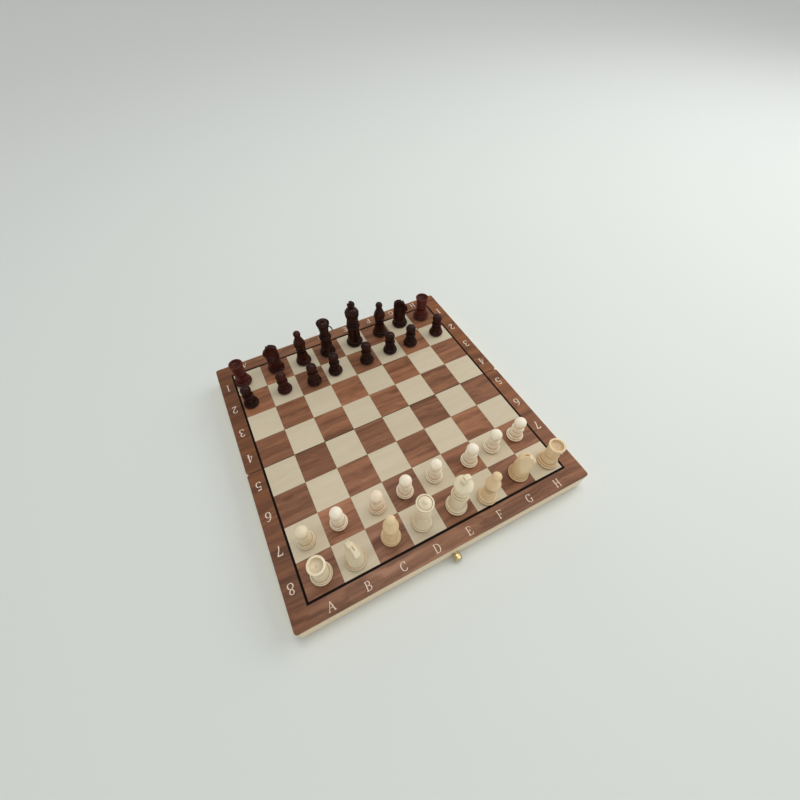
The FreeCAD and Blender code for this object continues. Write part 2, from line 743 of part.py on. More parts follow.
def knight_body():
    cushion_z = FELT_THICK + PLINTH_HIGH + RING_HIGH
    cushion = KNIGHT_DRUM / 2
    neck_z = cushion_z + KNIGHT_CUSHION_HIGH
    base = turned(foot(KNIGHT_BASE, cushion, neck_z)[:6] + [
        (cushion, cushion_z),
        (cushion * 0.9, cushion_z + KNIGHT_CUSHION_HIGH * 0.8, cushion * 0.55, neck_z),
        (0, neck_z),
    ])
    head = knight_head(cushion_z - RING_HIGH / 2)
    return base.fuse(head).removeSplitter()


BODIES = {
    "pawn": (pawn_body, PAWN_BASE),
    "rook": (rook_body, ROOK_BASE),
    "knight": (knight_body, KNIGHT_BASE),
    "bishop": (bishop_body, BISHOP_BASE),
    "queen": (queen_body, QUEEN_BASE),
    "king": (king_body, KING_BASE),
}


def piece(kind):
    """Turned body bored for its magnet, the magnet, and the felt that covers it."""
    make_body, base = BODIES[kind]
    bore_high = MAGNET_THICK + MAGNET_GAP
    bore = Part.makeCylinder(MAGNET_RADIUS + MAGNET_GAP, bore_high, FreeCAD.Vector(0, 0, FELT_THICK))
    magnet = Part.makeCylinder(MAGNET_RADIUS, MAGNET_THICK, FreeCAD.Vector(0, 0, FELT_THICK))
    felt = Part.makeCylinder(base / 2 - FELT_INSET, FELT_THICK)
    return group([make_body().cut(bore), magnet, felt])


def piece_places():
    """Name, kind, file number and rank of every piece in the opening position."""
    places = []
    for colour, back, front in (("light", 8, 7), ("dark", 1, 2)):
        for file, kind in enumerate(BACK_RANK):
            single = kind in ("queen", "king")
            name = "%s_%s" % (colour, kind) if single else "%s_%s_%s" % (colour, kind, FILES[file])
            places.append((name, kind, file, back))
        for file in range(8):
            places.append(("%s_pawn_%s" % (colour, FILES[file]), "pawn", file, front))
    return places


def half_nodes(side):
    """The pieces of one half of the board, in that half's own frame."""
    rail = outer_rail()
    if side == "near":
        rail = rail.cut(knob_shank_hole())
    else:
        rail = rail.cut(loop_holes())
    nodes = {
        "border_veneer": border_veneer(),
        "line_inlay": line_inlay(),
        "dark_squares": squares(True),
        "light_squares": squares(False),
        "steel_sheet": steel_sheet(),
        "top_panel": top_panel(),
        "outer_rail": rail,
        "seam_rail": seam_rail(),
        "side_rails": side_rails(),
        "felt_lining": felt_lining(),
        "hinge_leaves": hinge_leaves(side == "far"),
        "hinge_screws": hinge_screws(),
    }
    return {"%s_%s" % (side, name): shape for name, shape in nodes.items()}


def board_nodes():
    """Both halves, the near one turned about the middle of the seam, with the clasp and the hinge pins."""
    near = half_nodes("near")
    near["clasp_knob"] = clasp_knob()
    for shape in near.values():
        shape.rotate(CENTRE, Z_AXIS, 180)
    nodes = dict(near)
    nodes.update(half_nodes("far"))
    nodes["elastic_loop"] = elastic_loop()
    nodes["hinge_pins"] = hinge_pins()
    for shape in nodes.values():
        shape.translate(Y_AXIS * SEAM_Y)
    return nodes


def piece_nodes():
    shapes = {kind: piece(kind) for kind in BODIES}
    nodes = {}
    for name, kind, file, rank in piece_places():
        shape = shapes[kind].copy()
        shape.rotate(CENTRE, Z_AXIS, KNIGHT_TURN.get(name, 0.0))
        aside, ahead = STAND[name]
        x = (file - 3.5 + aside) * SQUARE
        shape.translate(FreeCAD.Vector(x, (4.5 - rank + ahead) * SQUARE + SEAM_Y, TOP_Z))
        nodes[name] = shape
    return nodes


def main():
    os.makedirs("parts", exist_ok=True)
    nodes = board_nodes()
    nodes.update(piece_nodes())
    for name, shape in nodes.items():
        shape.exportStep("parts/%s.step" % name)
    print("%d nodes" % len(nodes))


main()
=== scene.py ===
import bmesh
import bpy
import math
from mathutils import Matrix, Vector


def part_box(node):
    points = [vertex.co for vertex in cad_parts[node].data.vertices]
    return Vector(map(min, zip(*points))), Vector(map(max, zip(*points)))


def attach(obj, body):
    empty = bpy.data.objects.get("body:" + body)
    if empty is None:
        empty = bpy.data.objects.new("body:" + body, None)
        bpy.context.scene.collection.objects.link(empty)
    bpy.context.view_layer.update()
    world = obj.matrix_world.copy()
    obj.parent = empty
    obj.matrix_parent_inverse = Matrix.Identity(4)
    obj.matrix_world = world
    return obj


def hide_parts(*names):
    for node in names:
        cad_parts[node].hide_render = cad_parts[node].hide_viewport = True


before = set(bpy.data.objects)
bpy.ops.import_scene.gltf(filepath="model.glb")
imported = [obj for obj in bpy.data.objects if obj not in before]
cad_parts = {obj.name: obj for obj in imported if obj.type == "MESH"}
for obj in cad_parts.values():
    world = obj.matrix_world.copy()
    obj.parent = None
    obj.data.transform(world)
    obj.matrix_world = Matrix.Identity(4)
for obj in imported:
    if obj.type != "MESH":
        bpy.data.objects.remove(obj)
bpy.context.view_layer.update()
scene = bpy.context.scene
MM = 0.001

# The board's own measures, read from the frame; the line lies across the edge of the field of squares
line_low, line_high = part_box("near_line_inlay")
dark_low, dark_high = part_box("near_dark_squares")
border_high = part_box("near_border_veneer")[1]
SEAM_Y = (border_high.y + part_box("far_border_veneer")[0].y) / 2
TOP_Z = border_high.z
RIM_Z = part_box("near_outer_rail")[0].z
SQUARE = (line_high.x - line_low.x + dark_high.x - dark_low.x) / 16
HALF_FIELD = 4 * SQUARE
FILES = "abcdefgh"
SIDES = ("near", "far")


# Node groups and materials


def new_group(name, inputs, outputs):
    """An empty shader group with the named sockets, and its input and output nodes."""
    group = bpy.data.node_groups.new(name, "ShaderNodeTree")
    for label, kind, value in inputs:
        socket = group.interface.new_socket(label, in_out="INPUT", socket_type=kind)
        socket.default_value = value
    for label, kind in outputs:
        group.interface.new_socket(label, in_out="OUTPUT", socket_type=kind)
    return group, group.nodes.new("NodeGroupInput"), group.nodes.new("NodeGroupOutput")


class Wiring:
    """Short names for adding and joining the nodes of one tree."""

    def __init__(self, tree):
        self.tree = tree

    def node(self, kind, **settings):
        made = self.tree.nodes.new(kind)
        for key, value in settings.items():
            setattr(made, key, value)
        return made

    def join(self, source, target):
        self.tree.links.new(source, target)

    def feed(self, target, value):
        """Set an input to a plain value, or join it to a socket."""
        if isinstance(value, bpy.types.NodeSocket):
            self.join(value, target)
        else:
            target.default_value = value

    def maths(self, operation, first, second=0.0, clamp=False):
        made = self.node("ShaderNodeMath", operation=operation, use_clamp=clamp)
        self.feed(made.inputs[0], first)
        self.feed(made.inputs[1], second)
        return made.outputs[0]

    def vectors(self, operation, first, second=None):
        made = self.node("ShaderNodeVectorMath", operation=operation)
        self.feed(made.inputs[0], first)
        if second is not None:
            self.feed(made.inputs["Scale" if operation == "SCALE" else 1], second)
        return made.outputs[0]

    def place(self, kind="Object"):
        return self.node("ShaderNodeTexCoord").outputs[kind]

    def split(self, vector):
        made = self.node("ShaderNodeSeparateXYZ")
        self.join(vector, made.inputs[0])
        return made.outputs

    def stretch(self, vector, scale, turn=(0, 0, 0)):
        made = self.node("ShaderNodeMapping")
        made.inputs["Scale"].default_value = scale
        made.inputs["Rotation"].default_value = turn
        self.feed(made.inputs["Vector"], vector)
        return made.outputs[0]

    def noise(self, vector, scale, detail=4.0, roughness=0.55, distortion=0.0):
        made = self.node("ShaderNodeTexNoise")
        made.inputs["Scale"].default_value = scale
        made.inputs["Detail"].default_value = detail
        made.inputs["Roughness"].default_value = roughness
        made.inputs["Distortion"].default_value = distortion
        self.feed(made.inputs["Vector"], vector)
        return made.outputs["Fac"]

    def range(self, value, low, high, to_low=0.0, to_high=1.0):
        made = self.node("ShaderNodeMapRange")
        self.feed(made.inputs["Value"], value)
        self.feed(made.inputs["From Min"], low)
        self.feed(made.inputs["From Max"], high)
        self.feed(made.inputs["To Min"], to_low)
        self.feed(made.inputs["To Max"], to_high)
        return made.outputs[0]

    def blend(self, first, second, share):
        """Mean of two values, with the given share of the second."""
        rest = self.maths("MULTIPLY", first, 1 - share)
        return self.maths("ADD", rest, self.maths("MULTIPLY", second, share))

    def mix(self, share, first, second, blend="MIX"):
        made = self.node("ShaderNodeMix", data_type="RGBA", blend_type=blend)
        self.feed(made.inputs[0], share)
        self.feed(made.inputs[6], first)
        self.feed(made.inputs[7], second)
        return made.outputs[2]


# Waves of the grain in a metre, along it and across it both ways
SWAY_WAVES = (26.0, 34.0, 34.0)
BROAD_WAVES = (7.0, 140.0, 140.0)
FINE_WAVES = (16.0, 520.0, 520.0)
PORE_WAVES = (60.0, 2400.0, 2400.0)
SWAY_REACH = (0.0, 0.012, 0.012)
PATCH_JUMP = (3.0, 1.0, 0.4)
FINE_SHARE = 0.28
PORE_BROWN = (0.03, 0.015, 0.01, 1)
JOINT_BROWN = (0.05, 0.025, 0.015, 1)
JOINT_SHARE = 0.55
GRAIN_RELIEF = 0.35
GRAIN_DEPTH = 0.12 * MM


def grain_group():
    """Straight wood grain along the first axis: long streaks, fine pores and a tone for each cut piece."""
    group, given, out = new_group(
        "wood_grain",
        [
            ("Along", "NodeSocketVector", (0, 0, 0)),
            ("Patch", "NodeSocketVector", (0, 0, 0)),
            ("Early wood", "NodeSocketColor", (0.5, 0.4, 0.3, 1)),
            ("Late wood", "NodeSocketColor", (0.3, 0.2, 0.1, 1)),
            ("Streaks", "NodeSocketFloat", 0.5),
            ("Pores", "NodeSocketFloat", 0.3),
            ("Tone spread", "NodeSocketFloat", 0.1),
        ],
        [("Color", "NodeSocketColor"), ("Roughness", "NodeSocketFloat"), ("Height", "NodeSocketFloat")],
    )
    w = Wiring(group)
    patch = w.node("ShaderNodeTexWhiteNoise", noise_dimensions="3D")
    w.join(given.outputs["Patch"], patch.inputs["Vector"])
    jump = w.vectors("MULTIPLY", patch.outputs["Color"], PATCH_JUMP)
    moved = w.vectors("ADD", given.outputs["Along"], jump)
    sway = w.noise(w.stretch(moved, SWAY_WAVES), 1.0, 2.0)
    place = w.vectors("ADD", moved, w.vectors("SCALE", SWAY_REACH, sway))
    broad = w.noise(w.stretch(place, BROAD_WAVES), 1.0, 3.0, 0.5, 0.35)
    fine = w.noise(w.stretch(place, FINE_WAVES), 1.0, 4.0, 0.6, 0.2)
    hair = w.noise(w.stretch(place, PORE_WAVES), 1.0, 2.0, 0.5)
    streak = w.range(w.blend(broad, fine, FINE_SHARE), 0.37, 0.63)
    share = w.maths("MULTIPLY", streak, given.outputs["Streaks"], True)
    colour = w.mix(share, given.outputs["Early wood"], given.outputs["Late wood"])
    pore = w.maths("MULTIPLY", w.range(hair, 0.60, 0.72), given.outputs["Pores"])
    colour = w.mix(pore, colour, PORE_BROWN)
    tone = w.maths("SUBTRACT", patch.outputs["Value"], 0.5)
    gain = w.maths("ADD", 1.0, w.maths("MULTIPLY", tone, given.outputs["Tone spread"]))
    w.join(w.vectors("SCALE", colour, gain), out.inputs["Color"])
    w.join(w.range(streak, 0.0, 1.0, 0.36, 0.50), out.inputs["Roughness"])
    w.join(w.maths("SUBTRACT", w.maths("MULTIPLY", fine, 0.5), pore), out.inputs["Height"])
    return group


def joint_group():
    """Which square of the board's own grid a point lies in, and a mask of the glue lines between them."""
    group, given, out = new_group(
        "square_joints",
        [("Place", "NodeSocketVector", (0, 0, 0))],
        [("Cell", "NodeSocketVector"), ("Joint", "NodeSocketFloat")],
    )
    w = Wiring(group)
    counted = w.vectors("MULTIPLY", given.outputs["Place"], (1 / SQUARE, 1 / SQUARE, 0))
    counted = w.vectors("SUBTRACT", counted, (0, SEAM_Y / SQUARE, 0))
    part = w.split(w.vectors("FRACTION", counted))
    edge = []
    for axis in ("X", "Y"):
        off = w.maths("ABSOLUTE", w.maths("SUBTRACT", part[axis], 0.5))
        edge.append(w.range(off, 0.493, 0.498))
    w.join(w.vectors("FLOOR", counted), out.inputs["Cell"])
    w.join(w.maths("MAXIMUM", edge[0], edge[1]), out.inputs["Joint"])
    return group


GRAIN = grain_group()
JOINTS = joint_group()


def new_material(name, roughness=0.4, metallic=0.0, specular=0.5):
    material = bpy.data.materials.new(name)
    material.use_nodes = True
    wiring = Wiring(material.node_tree)
    shader = material.node_tree.nodes["Principled BSDF"]
    shader.inputs["Roughness"].default_value = roughness
    shader.inputs["Metallic"].default_value = metallic
    shader.inputs["Specular IOR Level"].default_value = specular
    return material, wiring, shader, wiring.place()


def bump(wiring, shader, height, strength, distance):
    made = wiring.node("ShaderNodeBump")
    made.inputs["Strength"].default_value = strength
    made.inputs["Distance"].default_value = distance
    wiring.join(height, made.inputs["Height"])
    wiring.join(made.outputs[0], shader.inputs["Normal"])


def add_grain(w, shader, along, early, late, streaks, pores, spread):
    """Give a shader the grain's roughness and relief; the grain is handed back for its colour."""
    grain = w.node("ShaderNodeGroup", node_tree=GRAIN)
    w.join(along, grain.inputs["Along"])
    grain.inputs["Early wood"].default_value = early + (1,)
    grain.inputs["Late wood"].default_value = late + (1,)
    grain.inputs["Streaks"].default_value = streaks
    grain.inputs["Pores"].default_value = pores
    grain.inputs["Tone spread"].default_value = spread
    w.join(grain.outputs["Roughness"], shader.inputs["Roughness"])
    bump(w, shader, grain.outputs["Height"], GRAIN_RELIEF, GRAIN_DEPTH)
    return grain


# Turns of the grain from the X axis
LENGTHWAYS = (0, 0, 0)
CROSSWAYS = (0, 0, math.pi / 2)
UPRIGHT = (0, math.pi / 2, 0)


def wood_material(name, early, late, streaks, pores, turn=LENGTHWAYS, specular=0.5):
    """Varnished wood with its grain turned from the X axis."""
    material, w, shader, place = new_material(name, specular=specular)
    along = w.stretch(place, (1, 1, 1), turn)
    grain = add_grain(w, shader, along, early, late, streaks, pores, 0.0)
    w.join(grain.outputs["Color"], shader.inputs["Base Color"])
    return material


def squares_material(name, early, late, streaks, pores, spread, specular=0.5):
    """Varnished veneer tiles, each of its own tone, with glue lines between them."""
    material, w, shader, place = new_material(name, specular=specular)
    grain = add_grain(w, shader, place, early, late, streaks, pores, spread)
    joints = w.node("ShaderNodeGroup", node_tree=JOINTS)
    w.join(place, joints.inputs["Place"])
    w.join(joints.outputs["Cell"], grain.inputs["Patch"])
    line = w.maths("MULTIPLY", joints.outputs["Joint"], JOINT_SHARE)
    w.join(w.mix(line, grain.outputs["Color"], JOINT_BROWN), shader.inputs["Base Color"])
    return material


class Overlay(Wiring):
    """Wiring that lays another colour over the one that a material has."""

    def __init__(self, material):
        super().__init__(material.node_tree)
        self.shader = material.node_tree.nodes["Principled BSDF"]
        self.under = self.shader.inputs["Base Color"].links[0].from_socket

    def tinted(self, tint):
        return self.mix(1.0, self.under, tint, "MULTIPLY")

    def lay(self, share, colour):
        self.join(self.mix(share, self.under, colour), self.shader.inputs["Base Color"])

    def from_middle(self):
        """Distances from the board's middle line and from its fold."""
        place = self.split(self.place())
        ahead = self.maths("SUBTRACT", place["Y"], SEAM_Y)
        return self.maths("ABSOLUTE", place["X"]), self.maths("ABSOLUTE", ahead)


SEAM_BROWN = (0.040, 0.022, 0.013, 1)
SEAM_SHARE = 0.85
LINE_BLACK = (0.012, 0.005, 0.002, 1)
LEFT_TINT = (0.63, 0.50, 0.34, 1)
RIGHT_TINT = (0.86, 0.69, 0.43, 1)


def stain_seam(material):
    """Darken the veneer's cut edge along the fold."""
    w = Overlay(material)
    ahead = w.from_middle()[1]
    w.lay(w.range(ahead, 0.55 * MM, 0.35 * MM, 0.0, SEAM_SHARE), SEAM_BROWN)


def shade_sides(material):
    """Let the border's tone change towards its side strips."""
    w = Overlay(material)
    aside, ahead = w.from_middle()
    side = w.range(w.maths("SUBTRACT", aside, ahead), -70 * MM, 5 * MM)
    right = w.range(w.split(w.place())["X"], -MM, MM)
    w.lay(side, w.tinted(w.mix(right, LEFT_TINT, RIGHT_TINT)))


def edge_line(material, start, end):
    """Let the black of the line run into the veneer, from start to end out from the board's middle."""
    w = Overlay(material)
    aside, ahead = w.from_middle()
    w.lay(w.range(w.maths("MAXIMUM", aside, ahead), start, end), LINE_BLACK)


# Weight of the lacquer, shine of the wood under it and tint of the painted shade in the grooves and dishes
LIGHT_LACQUER_AND_SHADE = (0.4, 0.4, (0.66, 0.49, 0.33, 1))
DARK_LACQUER_AND_SHADE = (0.26, 0.02, (0.25, 0.20, 0.18, 1))
RED_LACQUER_AND_SHADE = (0.28,) + DARK_LACQUER_AND_SHADE[1:]
LACQUER_ROUGHNESS = 0.12


def piece_wood(name, early, late, streaks, pores, lacquer):
    """Turned wood with upright grain under a clear lacquer, with painted shade in its grooves and dishes.
    """
    weight, specular, groove_shade = lacquer
    material = wood_material(name, early, late, streaks, pores, UPRIGHT, specular)
    w = Overlay(material)
    # The groove attribute lays painted shade into the grooves and the dishes
    groove = w.node("ShaderNodeAttribute", attribute_name="groove").outputs["Fac"]
    w.lay(groove, w.tinted(groove_shade))
    w.shader.inputs["Coat Weight"].default_value = weight
    w.shader.inputs["Coat Roughness"].default_value = LACQUER_ROUGHNESS
    return material


def felt_material(name, colour, lint):
    """Short pressed felt: mottled fibres and a soft nap."""
    material, w, shader, place = new_material(name, roughness=0.95, specular=0.2)
    fibre = w.noise(place, 2600.0, 5.0, 0.7, 1.2)
    cloud = w.noise(place, 90.0, 3.0)
    share = w.range(w.blend(fibre, cloud, 0.3), 0.35, 0.65)
    w.join(w.mix(share, colour + (1,), lint + (1,)), shader.inputs["Base Color"])
    shader.inputs["Sheen Weight"].default_value = 0.4
    bump(w, shader, fibre, 0.6, 0.3 * MM)
    return material


TOOL_LINE_DEPTH = 0.05 * MM


def brass_material(name, colour, tarnish, roughness):
    """Turned or pressed brass with faint tool lines and darker tarnish."""
    material, w, shader, place = new_material(name, roughness, metallic=1.0)
    cloud = w.noise(place, 420.0, 4.0)
    lines = w.noise(w.stretch(place, (300.0, 6000.0, 300.0)), 1.0, 2.0)
    share = w.range(cloud, 0.42, 0.72)
    w.join(w.mix(share, colour + (1,), tarnish + (1,)), shader.inputs["Base Color"])
    w.join(w.range(cloud, 0.3, 0.7, roughness - 0.06, roughness + 0.12), shader.inputs["Roughness"])
    bump(w, shader, lines, 0.15, TOOL_LINE_DEPTH)
    return material


def steel_material():
    """Rolled sheet with lines along it."""
    material, w, shader, place = new_material("sheet_steel", 0.35, metallic=1.0)
    lines = w.noise(w.stretch(place, (20.0, 3000.0, 3000.0)), 1.0, 3.0)
    w.join(w.mix(lines, (0.42, 0.43, 0.44, 1), (0.62, 0.63, 0.64, 1)), shader.inputs["Base Color"])
    bump(w, shader, lines, 0.2, TOOL_LINE_DEPTH)
    return material


def plywood_material():
    """Panel edge: three plies of pale wood with a darker crossband."""
    material, w, shader, place = new_material("panel_plywood")
    grain = add_grain(w, shader, place, (0.66, 0.53, 0.35), (0.50, 0.37, 0.21), 0.5, 0.1, 0.1)
    low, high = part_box("near_top_panel")
    thick = high.z - low.z
    off = w.maths("ABSOLUTE", w.maths("SUBTRACT", w.split(place)["Z"], (low.z + high.z) / 2))
    core = w.range(off, thick * 0.2, thick * 0.16)
    band = w.mix(w.maths("MULTIPLY", core, 0.6), grain.outputs["Color"], (0.36, 0.25, 0.14, 1))
    w.join(band, shader.inputs["Base Color"])
    return material


def ink_material(name, colour, worn, specular):
    """Printed or dyed surface with slight unevenness."""
    material, w, shader, place = new_material(name, 0.5, specular=specular)
    cloud = w.noise(place, 700.0, 4.0)
    w.join(w.mix(w.range(cloud, 0.4, 0.75), colour + (1,), worn + (1,)), shader.inputs["Base Color"])
    w.join(w.range(cloud, 0.3, 0.7, 0.42, 0.58), shader.inputs["Roughness"])
    return material


def cord_material():
    """Braided elastic cover: crossed yarns that follow the cord."""
    material, w, shader, place = new_material("elastic_braid", 0.8)
    yarn = w.node("ShaderNodeTexWave", wave_type="BANDS", bands_direction="DIAGONAL")
    yarn.inputs["Scale"].default_value = 900.0
    yarn.inputs["Distortion"].default_value = 1.0
    w.join(place, yarn.inputs["Vector"])
    cover = w.mix(yarn.outputs["Fac"], (0.006, 0.006, 0.007, 1), (0.05, 0.045, 0.045, 1))
    w.join(cover, shader.inputs["Base Color"])
    bump(w, shader, yarn.outputs["Fac"], 0.5, 0.2 * MM)
    return material


# Each wood is given by its early and late colour, the strength of its streaks and of its pores
WALNUT = squares_material(
    "walnut_squares", (0.360, 0.152, 0.071), (0.135, 0.044, 0.016), 0.9, 0.35, spread=0.40, specular=0.3)
WALNUT_BORDER = wood_material(
    "walnut_border", (0.345, 0.150, 0.068), (0.125, 0.044, 0.017), 0.9, 0.35, specular=0.35)
MAPLE = squares_material(
    "maple_squares", (0.648, 0.556, 0.390), (0.570, 0.468, 0.314), 0.45, 0.04, spread=0.06)
shade_sides(WALNUT_BORDER)
for veneer in (WALNUT, WALNUT_BORDER, MAPLE):
    stain_seam(veneer)
edge_line(WALNUT_BORDER, line_high.x + 0.42 * MM, line_high.x + 0.22 * MM)
for veneer in (WALNUT, MAPLE):
    edge_line(veneer, dark_high.x - 0.36 * MM, dark_high.x - 0.16 * MM)
RAIL_LOOK = ((0.780, 0.640, 0.440), (0.660, 0.500, 0.310), 0.6, 0.10)
RAIL_WOOD = wood_material("pale_rail", *RAIL_LOOK)
SIDE_RAIL_WOOD = wood_material("pale_side_rail", *RAIL_LOOK, turn=CROSSWAYS)
CREAM = piece_wood(
    "cream_piece", (0.945, 0.865, 0.690), (0.900, 0.770, 0.560), 0.5, 0.05, LIGHT_LACQUER_AND_SHADE)
IVORY = piece_wood(
    "ivory_piece", (0.815, 0.715, 0.500), (0.760, 0.625, 0.405), 0.5, 0.05, LIGHT_LACQUER_AND_SHADE)
TAN = piece_wood(
    "tan_piece", (0.800, 0.620, 0.365), (0.710, 0.500, 0.265), 0.5, 0.08, LIGHT_LACQUER_AND_SHADE)
PALE_TAN = piece_wood(
    "pale_tan_piece", (0.910, 0.780, 0.590), (0.850, 0.660, 0.460), 0.5, 0.08, LIGHT_LACQUER_AND_SHADE)
BLACK_BROWN = piece_wood(
    "black_brown_piece", (0.034, 0.0080, 0.0046), (0.008, 0.0025, 0.0016), 0.8, 0.1, DARK_LACQUER_AND_SHADE)
DARK_RED = piece_wood(
    "dark_red_piece", (0.060, 0.012, 0.0075), (0.018, 0.0045, 0.003), 0.8, 0.1, DARK_LACQUER_AND_SHADE)
RED_BROWN = piece_wood(
    "red_brown_piece", (0.105, 0.020, 0.014), (0.046, 0.010, 0.007), 0.7, 0.1, RED_LACQUER_AND_SHADE)
PLYWOOD = plywood_material()
STEEL = steel_material()
BLACK_LINE = ink_material("black_inlay", (0.009, 0.0035, 0.0014), (0.018, 0.007, 0.003), 0.02)
COORDINATE_INK = ink_material("coordinate_cream", (0.850, 0.730, 0.590), (0.720, 0.570, 0.430), 0.12)
HINGE_BRASS = brass_material("hinge_brass", (0.78, 0.58, 0.27), (0.55, 0.37, 0.15), 0.34)
KNOB_BRASS = brass_material("knob_brass", (0.62, 0.52, 0.29), (0.42, 0.33, 0.16), 0.28)
GREEN_FELT = felt_material("green_felt", (0.020, 0.085, 0.038), (0.045, 0.130, 0.065))
BROWN_FELT = felt_material("brown_felt", (0.060, 0.040, 0.030), (0.100, 0.070, 0.055))
BRAID = cord_material()

NODE_FINISHES = {
    "border_veneer": WALNUT_BORDER,
    "line_inlay": BLACK_LINE,
    "dark_squares": WALNUT,
    "light_squares": MAPLE,
    "steel_sheet": STEEL,
    "top_panel": PLYWOOD,
    "outer_rail": RAIL_WOOD,
    "seam_rail": RAIL_WOOD,
    "side_rails": SIDE_RAIL_WOOD,
    "felt_lining": GREEN_FELT,
    "hinge_leaves": HINGE_BRASS,
    "hinge_screws": HINGE_BRASS,
}


def finish_node(name, material):
    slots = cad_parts[name].data.materials
    slots.clear()
    slots.append(material)


for side in SIDES:
    for part, material in NODE_FINISHES.items():
        finish_node("%s_%s" % (side, part), material)
finish_node("hinge_pins", HINGE_BRASS)
finish_node("clasp_knob", KNOB_BRASS)


# Turned pieces

ARC_STEP = math.radians(11)
LATHE_STEPS = 56
SHARP_CORNER = math.radians(38)
SAME_POINT = 1e-6


def arc_turn(start, through, end):
    """Centre and turn about +Y of the arc in the XZ plane from start through a point to end."""
    ax, az = start
    bx, bz = through
    cx, cz = end
    d = 2 * (ax * (bz - cz) + bx * (cz - az) + cx * (az - bz))
    a2 = ax * ax + az * az
    b2 = bx * bx + bz * bz
    c2 = cx * cx + cz * cz
    x = (a2 * (bz - cz) + b2 * (cz - az) + c2 * (az - bz)) / d
    z = (a2 * (cx - bx) + b2 * (ax - cx) + c2 * (bx - ax)) / d
    first = math.atan2(az - z, ax - x)
    middle = (math.atan2(bz - z, bx - x) - first) % (2 * math.pi)
    sweep = (math.atan2(cz - z, cx - x) - first) % (2 * math.pi)
    if middle > sweep:
        sweep -= 2 * math.pi
    return (x, z), -sweep


def draw_outline(bm, outline):
    """Half outline of a turned piece in mm: (r, z) draws a line, (r, z, r, z) an arc through a point."""
    last = bm.verts.new((outline[0][0] * MM, 0, outline[0][1] * MM))
    here = outline[0]
    for step in outline[1:]:
        end = step[-2:]
        if math.dist(here, end) < SAME_POINT:
            continue
        if len(step) == 4:
            centre, turn = arc_turn(here, step[:2], end)
            steps = max(3, round(abs(turn) / ARC_STEP))
            made = bmesh.ops.spin(bm, geom=[last], cent=(centre[0] * MM, 0, centre[1] * MM), axis=(0, 1, 0),
                                  angle=turn, steps=steps)
            last = [item for item in made["geom_last"] if isinstance(item, bmesh.types.BMVert)][0]
        else:
            last = bmesh.ops.extrude_vert_indiv(bm, verts=[last])["verts"][0]
        last.co = (end[0] * MM, 0, end[1] * MM)
        here = end


# Measures of the grooves in mm: how far up and down a groove's sides are looked for, how far an outline
# falls from a rim and lies under it in a dish, how deep a dish counts, and where painted shade starts and
# is full
GROOVE_REACH = 2.4
RIM_FALL = 0.3
DISH_START = 0.5
DISH_DEPTH = 0.32
SHADE_START = 0.18
SHADE_FULL = 0.60


def clamped(value):
    return min(max(value, 0), 1)


def groove_depths(profile):
    """How deep each point of a half outline lies in a groove or a dish, in mm."""
    end = len(profile) - 1
    falls = [number for number in range(end) if profile[number + 1][1] < profile[number][1] - RIM_FALL]
    top = falls[0] if falls else end
    depths = []
    for number, (r, z) in enumerate(profile):
        if number > top:
            depths.append(DISH_DEPTH if z < profile[top][1] - DISH_START else 0.0)
            continue
        below = [spot for spot in profile[:number] if 0 < z - spot[1] < GROOVE_REACH]
        above = [spot for spot in profile[number + 1:top + 1] if 0 < spot[1] - z < GROOVE_REACH]
        deep = 0.0
        for low in below:
            for high in above:
                level = low[0] + (high[0] - low[0]) * (z - low[1]) / (high[1] - low[1])
                deep = max(deep, level - r)
        depths.append(deep)
    return depths


def mark_grooves(bm):
    """Keep with the points of an outline that is about to be turned the share of painted shade that their
    grooves and dishes get.
    """
    layer = bm.verts.layers.float.new("groove")
    bm.verts.index_update()
    profile = [(vert.co.x / MM, vert.co.z / MM) for vert in bm.verts]
    for vert, deep in zip(bm.verts, groove_depths(profile)):
        vert[layer] = clamped((deep - SHADE_START) / (SHADE_FULL - SHADE_START))


def close_up(bm):
    bmesh.ops.remove_doubles(bm, verts=bm.verts[:], dist=SAME_POINT)
    bmesh.ops.recalc_face_normals(bm, faces=bm.faces[:])


def turn_on_lathe(bm, outline):
    draw_outline(bm, outline)
    mark_grooves(bm)
    bmesh.ops.spin(bm, geom=bm.verts[:] + bm.edges[:], cent=(0, 0, 0), axis=(0, 0, 1), angle=2 * math.pi,
                   steps=LATHE_STEPS, use_merge=True)
    close_up(bm)


def finish_piece(bm, name, materials):
    """Turn a bmesh into an object at the origin with smooth shading and sharp corners kept."""
    mesh = bpy.data.meshes.new(name)
    bm.to_mesh(mesh)
    bm.free()
    for polygon in mesh.polygons:
        polygon.use_smooth = True
    mesh.set_sharp_from_angle(angle=SHARP_CORNER)
    for material in materials:
        mesh.materials.append(material)
    made = bpy.data.objects.new(name, mesh)
    scene.collection.objects.link(made)
    return made


# Measures of the turned pieces in mm
FELT = 1.0
FELT_STEP = 1.2
PLINTH_TOP = 4.2
PLINTH_ROUND = 1.1
RING_TOP = 6.6
RING_STEP = 0.9
STEM_STEP = 1.2
COLLAR_ROUND = 1.1


